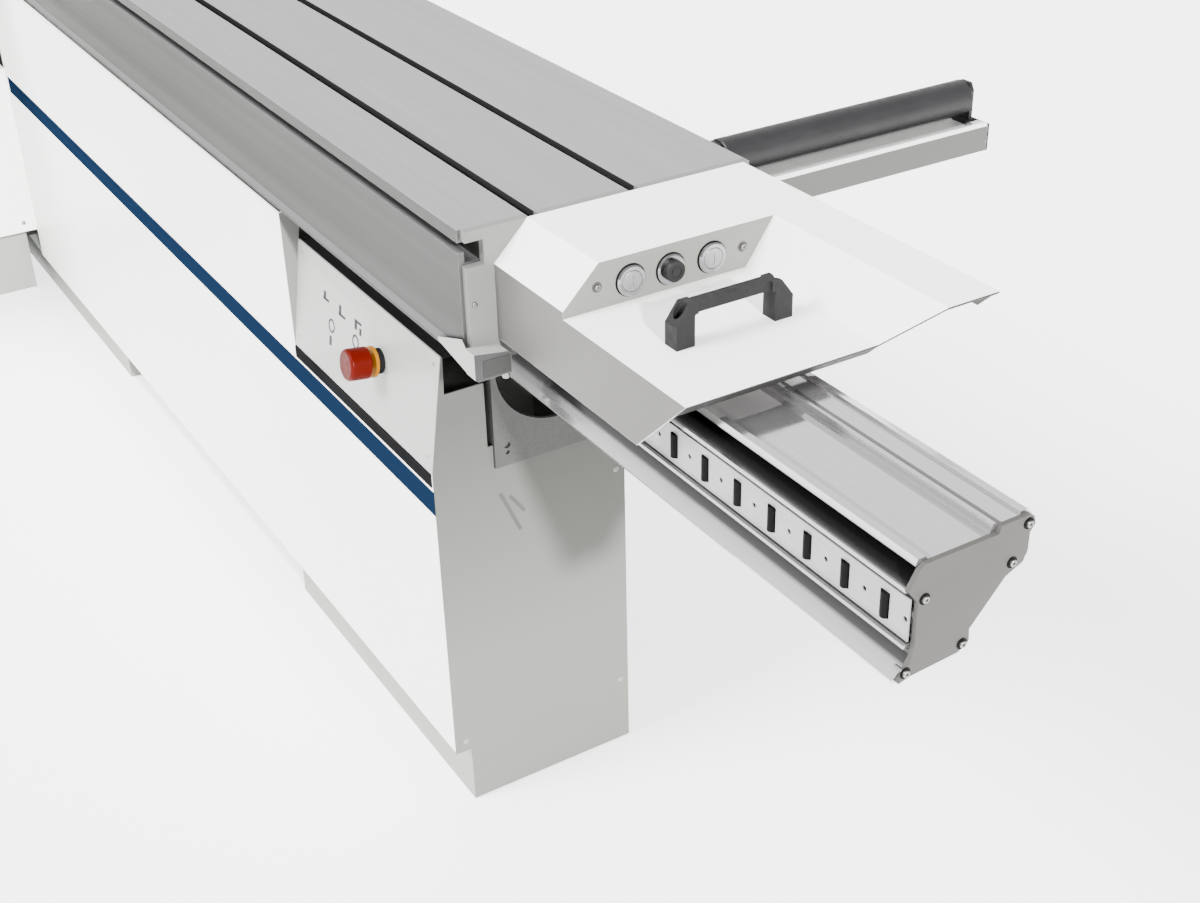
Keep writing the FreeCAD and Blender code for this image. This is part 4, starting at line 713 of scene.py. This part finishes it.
# ---- details: every number below is in millimetres, places from the measuring point ----
PANEL_FOOT = (5.0, 515.0)        # x and z at the foot of the leaning control panel
PANEL_TOP = (27.0, 665.0)
PANEL_LEAN = math.atan2(PANEL_TOP[0] - PANEL_FOOT[0], PANEL_TOP[1] - PANEL_FOOT[1])
PANEL_OUT = (-math.cos(PANEL_LEAN), 0, math.sin(PANEL_LEAN))
COVER_Y = 129.0                  # near face of the base
OUTER_X = 271.0                  # right face of the base
TABLE_Z = 870.0
TRAY_EDGE_Y = -353.0             # near edge of the hood's tray
TRAY_Z = 820.0
TRAY_SLOPE = 1.05                # how far the tray's slanted edge comes forward as it rises
HOOD_NEAR_Y = -140.0             # near face of the control hood
BEAM_NEAR_Y = -625.0             # outer faces of the beam's end caps
BEAM_FAR_Y = 3405.0
CABINET_NEAR_Y = 2070.0
CABINET_FAR_Y = 3190.0
PLATE_FAR_Y = 3220.0             # outer face of the carriage's far end plate
PANEL_SCREW = (4.5, 2.2)         # radius and height of the head
POST_X, POST_Y = (-655, -585), (3083, 3137)    # bolts at the foot of the guard's post
PORT_X, PORT_Z = -350, 300                     # axis of the dust port

# Marks printed beside the emergency stop: middle (y, z), width and height. They spell nothing.
RING_MARKS = ((428, 587), (355, 594))
TICK_MARKS = ((448, 616, 18, 3.5), (452, 621, 7, 10), (404, 618, 7, 13), (398, 612, 20, 3.5),
              (356, 616, 7, 11), (350, 622, 20, 3.5), (430, 566, 7, 13), (342, 612, 6, 9))
# Two strokes on the end cover: x, z, length and lean in radians.
COVER_STROKES = ((105, 430, 66, 0.40), (115, 439, 34, 0.62))
BUTTONS = ((114.5, 842.5), (162, 842.5), (212, 842.5))
CAP_SCREWS = ((187, 792), (173, 759), (126, 696), (80, 759), (66, 691))


def on_panel(y, z, proud=0.25):
    """A place just proud of the leaning control panel."""
    x = PANEL_FOOT[0] + (z - PANEL_FOOT[1]) * math.tan(PANEL_LEAN)
    return at(x, y, z) + Vector(PANEL_OUT) * proud * MM


def add_mark(bm, middle, size, turn):
    """Adds a flat leaning mark: its middle, and its size in mm along x, y and z."""
    half = Vector(size) / 2 * MM
    add_block(bm, middle - half, middle + half, turn=turn)


def control_panel_details():
    """Plain ring and tick marks printed beside the emergency stop, and the panel's screws."""
    rings = [(ring(9.5, 2.6, 0.05), on_panel(y, z), PANEL_OUT) for y, z in RING_MARKS]
    turned("panel_ring_marks", rings, INK, "machine")
    bm = bmesh.new()
    lean = Matrix.Rotation(PANEL_LEAN, 4, "Y")
    for y, z, wide, tall in TICK_MARKS:
        add_mark(bm, on_panel(y, z, proud=0.1), (0.3, wide, tall), lean)
    add_piece("panel_tick_marks", bm, INK, "machine")
    corners = [on_panel(y, z) for y in (146, 530) for z in (532, 650)]
    heads("panel_screws", corners, PANEL_OUT, (3.0, 1.2), PANEL_WHITE, "machine", washer_head)


def base_details():
    """Screws, bolts and rivets of the narrow base, and two dark strokes on its end cover."""
    cover = [at(x, COVER_Y, z) for x, z in ((20, 104), (258, 104), (258, 440))]
    heads("cover_screws", cover, NEAR, (4.0, 1.8), GREY, "machine", washer_head)
    saddle = [at(254, COVER_Y - 5, z) for z in (512, 560)]
    heads("saddle_bolts", saddle, NEAR, (6.5, 5.0), ZINC, "machine")
    rivets = [at(PANEL_FOOT[0], y, 104) for y in range(620, 2050, 350)]
    heads("panel_rivets", rivets, LEFT, (3.0, 1.0), WHITE, "machine", washer_head)
    outer = [at(OUTER_X, y, z) for y in range(200, 3190, 330) for z in (110, 600)]
    heads("outer_panel_screws", outer, RIGHT, PANEL_SCREW, ZINC, "machine", washer_head)
    stroke_marks = bmesh.new()
    for x, z, length, lean in COVER_STROKES:
        add_mark(stroke_marks, at(x, COVER_Y, z), (4.8, 0.2, length), Matrix.Rotation(-lean, 4, "Y"))
    add_piece("cover_stroke_marks", stroke_marks, COVER_STROKE, "machine")
    feet = [at(269, y, 30) for y in (190, 640, 1640, 3120)]
    heads("plinth_bolts", feet, RIGHT, (7.0, 5.0), ZINC, "machine")


def tray_edge(x, z, back, drop):
    """Upper and lower corner of a strip on the tray's edge, which slants as it rises."""
    y = TRAY_EDGE_Y - (z - TRAY_Z) * TRAY_SLOPE
    return (x, y, z), (x, y + back, z - drop)


def hood_details():
    """Dark strips along the tray's near edge, and rings round the buttons and screws."""
    lip = 15.0
    level = [tray_edge(x, TRAY_Z, lip * TRAY_SLOPE, lip) for x in (37, 255)]
    edge_strip("tray_edge_strip", level, DARK_GREY, "carriage")
    slope = [tray_edge(x, z, 3.2, 3) for x, z in ((255.1, TRAY_Z), (290, TABLE_Z), (351, TABLE_Z))]
    edge_strip("tray_slope_strip", slope, DARK_GREY, "carriage")
    seals = [(ring(17.6, 3.0, 0.5), at(x, HOOD_NEAR_Y, z), NEAR) for x, z in BUTTONS]
    turned("bezel_seals", seals, RUBBER, "carriage", steps=40)
    washers = [(ring(5.6, 3.0, 0.4), at(x, HOOD_NEAR_Y, 844.5), NEAR) for x in (75.5, 250.5)]
    turned("hood_screw_washers", washers, CAP, "carriage")


def carriage_details():
    """Carriage bolts, the roller's end caps, a pad of painted shade on the wiper and the stop's
    knob.
    """
    outrigger = [at(x, 48, 821) for x in (378, 732)]
    heads("outrigger_bolts", outrigger, UP, (4.0, 2.0), ZINC, "carriage")
    far_plate = [at(x, PLATE_FAR_Y, z) for x, z in ((30, 800), (30, 760), (330, 835), (235, 760))]
    heads("far_plate_screws", far_plate, FAR, (4.5, 2.5), ZINC, "carriage", washer_head)
    cap = [(4.3, 0), (4.3, 1.2), (13, 1.2), (14, 0)]
    caps = [(cap, at(741, 74, 848.5), RIGHT), (cap, at(371, 74, 848.5), LEFT)]
    turned("roller_end_caps", caps, DARK_GREY, "roller")
    # Painted shade: a dark pad on the wiper block's near face.
    shade_pad = (at(6, -20.8, 711), at(38.5, -19.9, 731))
    blocks("wiper_shade_pad", [shade_pad], DARK_GREY, "carriage", bevel=0.3)
    heads("wiper_bolt", [at(35, -15, 709)], DOWN, (4.5, 7.0), ZINC, "carriage")
    turned("stop_knob", [(knob(11, 22), at(440, 2190, 958), UP)], BLACK, "length_stop")


def beam_details():
    """Washers under the screws of the beam's two end caps."""
    washer = ring(5.4, 2.4, 0.5)
    near = [(washer, at(x, BEAM_NEAR_Y, z), NEAR) for x, z in CAP_SCREWS]
    far = [(washer, at(x, BEAM_FAR_Y, z), FAR) for x, z in CAP_SCREWS]
    turned("cap_screw_washers", near + far, BLACKENED_AND_SHADED, "machine")


def door_louvres():
    """Two columns of louvres on the cabinet door, measured in metres from the door's low corner."""
    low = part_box("cabinet_door")[0]
    louvres = []
    for index in range(9):
        z = low[2] + 0.08 + index * 0.02
        for y in (low[1] + 0.16, low[1] + 0.42):
            louvres.append(((low[0] + 0.0095, y, z), (low[0] + 0.0128, y + 0.16, z + 0.007)))
    blocks("door_louvres", louvres, WHITE, "door", bevel=1.2)


def cabinet_details():
    """Louvres, panel screws, dust port, strut bolts and the trim of the two handwheels."""
    door_louvres()
    near = [at(x, CABINET_NEAR_Y, z) for x in (-680, -350, -20) for z in (170, 485)]
    heads("cabinet_screws", near, NEAR, PANEL_SCREW, ZINC, "machine", washer_head)
    back = [at(x, CABINET_FAR_Y, z) for x in (-680, -520, -180, -20) for z in (170, 480, 800)]
    heads("back_screws", back, FAR, PANEL_SCREW, ZINC, "machine", washer_head)
    bead = [(60, 0), (61.5, 1.5), (61.5, 4), (60, 5.5)]
    turned("dust_port_bead", [(bead, at(PORT_X, 3262, PORT_Z), FAR)], ZINC, "machine", steps=48)
    flange = [at(PORT_X + 68 * math.cos(angle), CABINET_FAR_Y + 4, PORT_Z + 68 * math.sin(angle))
              for angle in (0.8, 2.4, 3.9, 5.5)]
    heads("dust_port_screws", flange, FAR, (3.5, 2.0), ZINC, "machine", washer_head)
    strut = [at(-1010, y, 829) for y in (3070, 3090)]
    heads("strut_bolts", strut, DOWN, (4.5, 4.0), ZINC, "machine")
    dial = [(0, 0), (15, 0), (15, 1.2), (13.6, 2), (0, 2)]
    knob_end = [(0, 0), (5, 0), (5, 1.5), (0, 2)]
    for body, x in (("tilt_wheel", -300), ("lift_wheel", -520)):
        turned(body + "_dial", [(dial, at(x, 2006, 420), NEAR)], SILVER, body)
        turned(body + "_knob_end", [(knob_end, at(x + 58, 1966, 362), NEAR)], SILVER, body)


def table_details():
    """Insert screws, a plain scale in front of the tables, and the guard's bolts and knob."""
    insert = [at(x, y, TABLE_Z - 0.35) for x in (-220, -70) for y in (2212, 2550, 2888)]
    heads("insert_screws", insert, UP, (4.5, 0.5), ZINC, "machine", washer_head)
    strip = (at(-1078, 1989, 858), at(-66, 2009.5, TABLE_Z))
    blocks("fence_scale_strip", [strip], SILVER, "machine", bevel=0.4)
    ticks = []
    for index in range(100):
        x = -1070 + index * 10
        length = {0: 9, 5: 6}.get(index % 10, 4)
        ticks.append((at(x - 0.3, 2001 - length, TABLE_Z - 0.1), at(x + 0.3, 2001, TABLE_Z + 0.1)))
    blocks("fence_scale_ticks", ticks, INK, "machine", bevel=0.0)
    post = [at(x, y, 880) for x in POST_X for y in POST_Y]
    heads("post_bolts", post, UP, (5.5, 5.0), ZINC, "machine")
    turned("guard_clamp_knob", [(knob(13, 26), at(-203, 2574, 1215), RIGHT)], BLACK, "machine")


def motor_details():
    """The motor's fan cowl, the screws of its terminal box and its cable gland."""
    cowl = [(82, 0), (84, 2), (84, 34), (60, 40), (0, 40)]
    turned("motor_cowl", [(cowl, at(-510, 2700, 520), LEFT)], IRON, "lift_unit", steps=48)
    screws = [at(x, y, 638) for x in (-482, -398) for y in (2663, 2737)]
    heads("terminal_screws", screws, UP, (3.5, 2.0), ZINC, "lift_unit", washer_head)
    gland = [(0, 0), (11, 0), (11, 8), (8, 10), (8, 16), (0, 16)]
    turned("cable_gland", [(gland, at(-440, 2655, 600), NEAR)], BLACK, "lift_unit")


paint_cad_pieces()
place_camera()
add_floor()
add_sky()
add_suns()
round_cad_edges()
control_panel_details()
base_details()
hood_details()
carriage_details()
beam_details()
cabinet_details()
table_details()
motor_details()
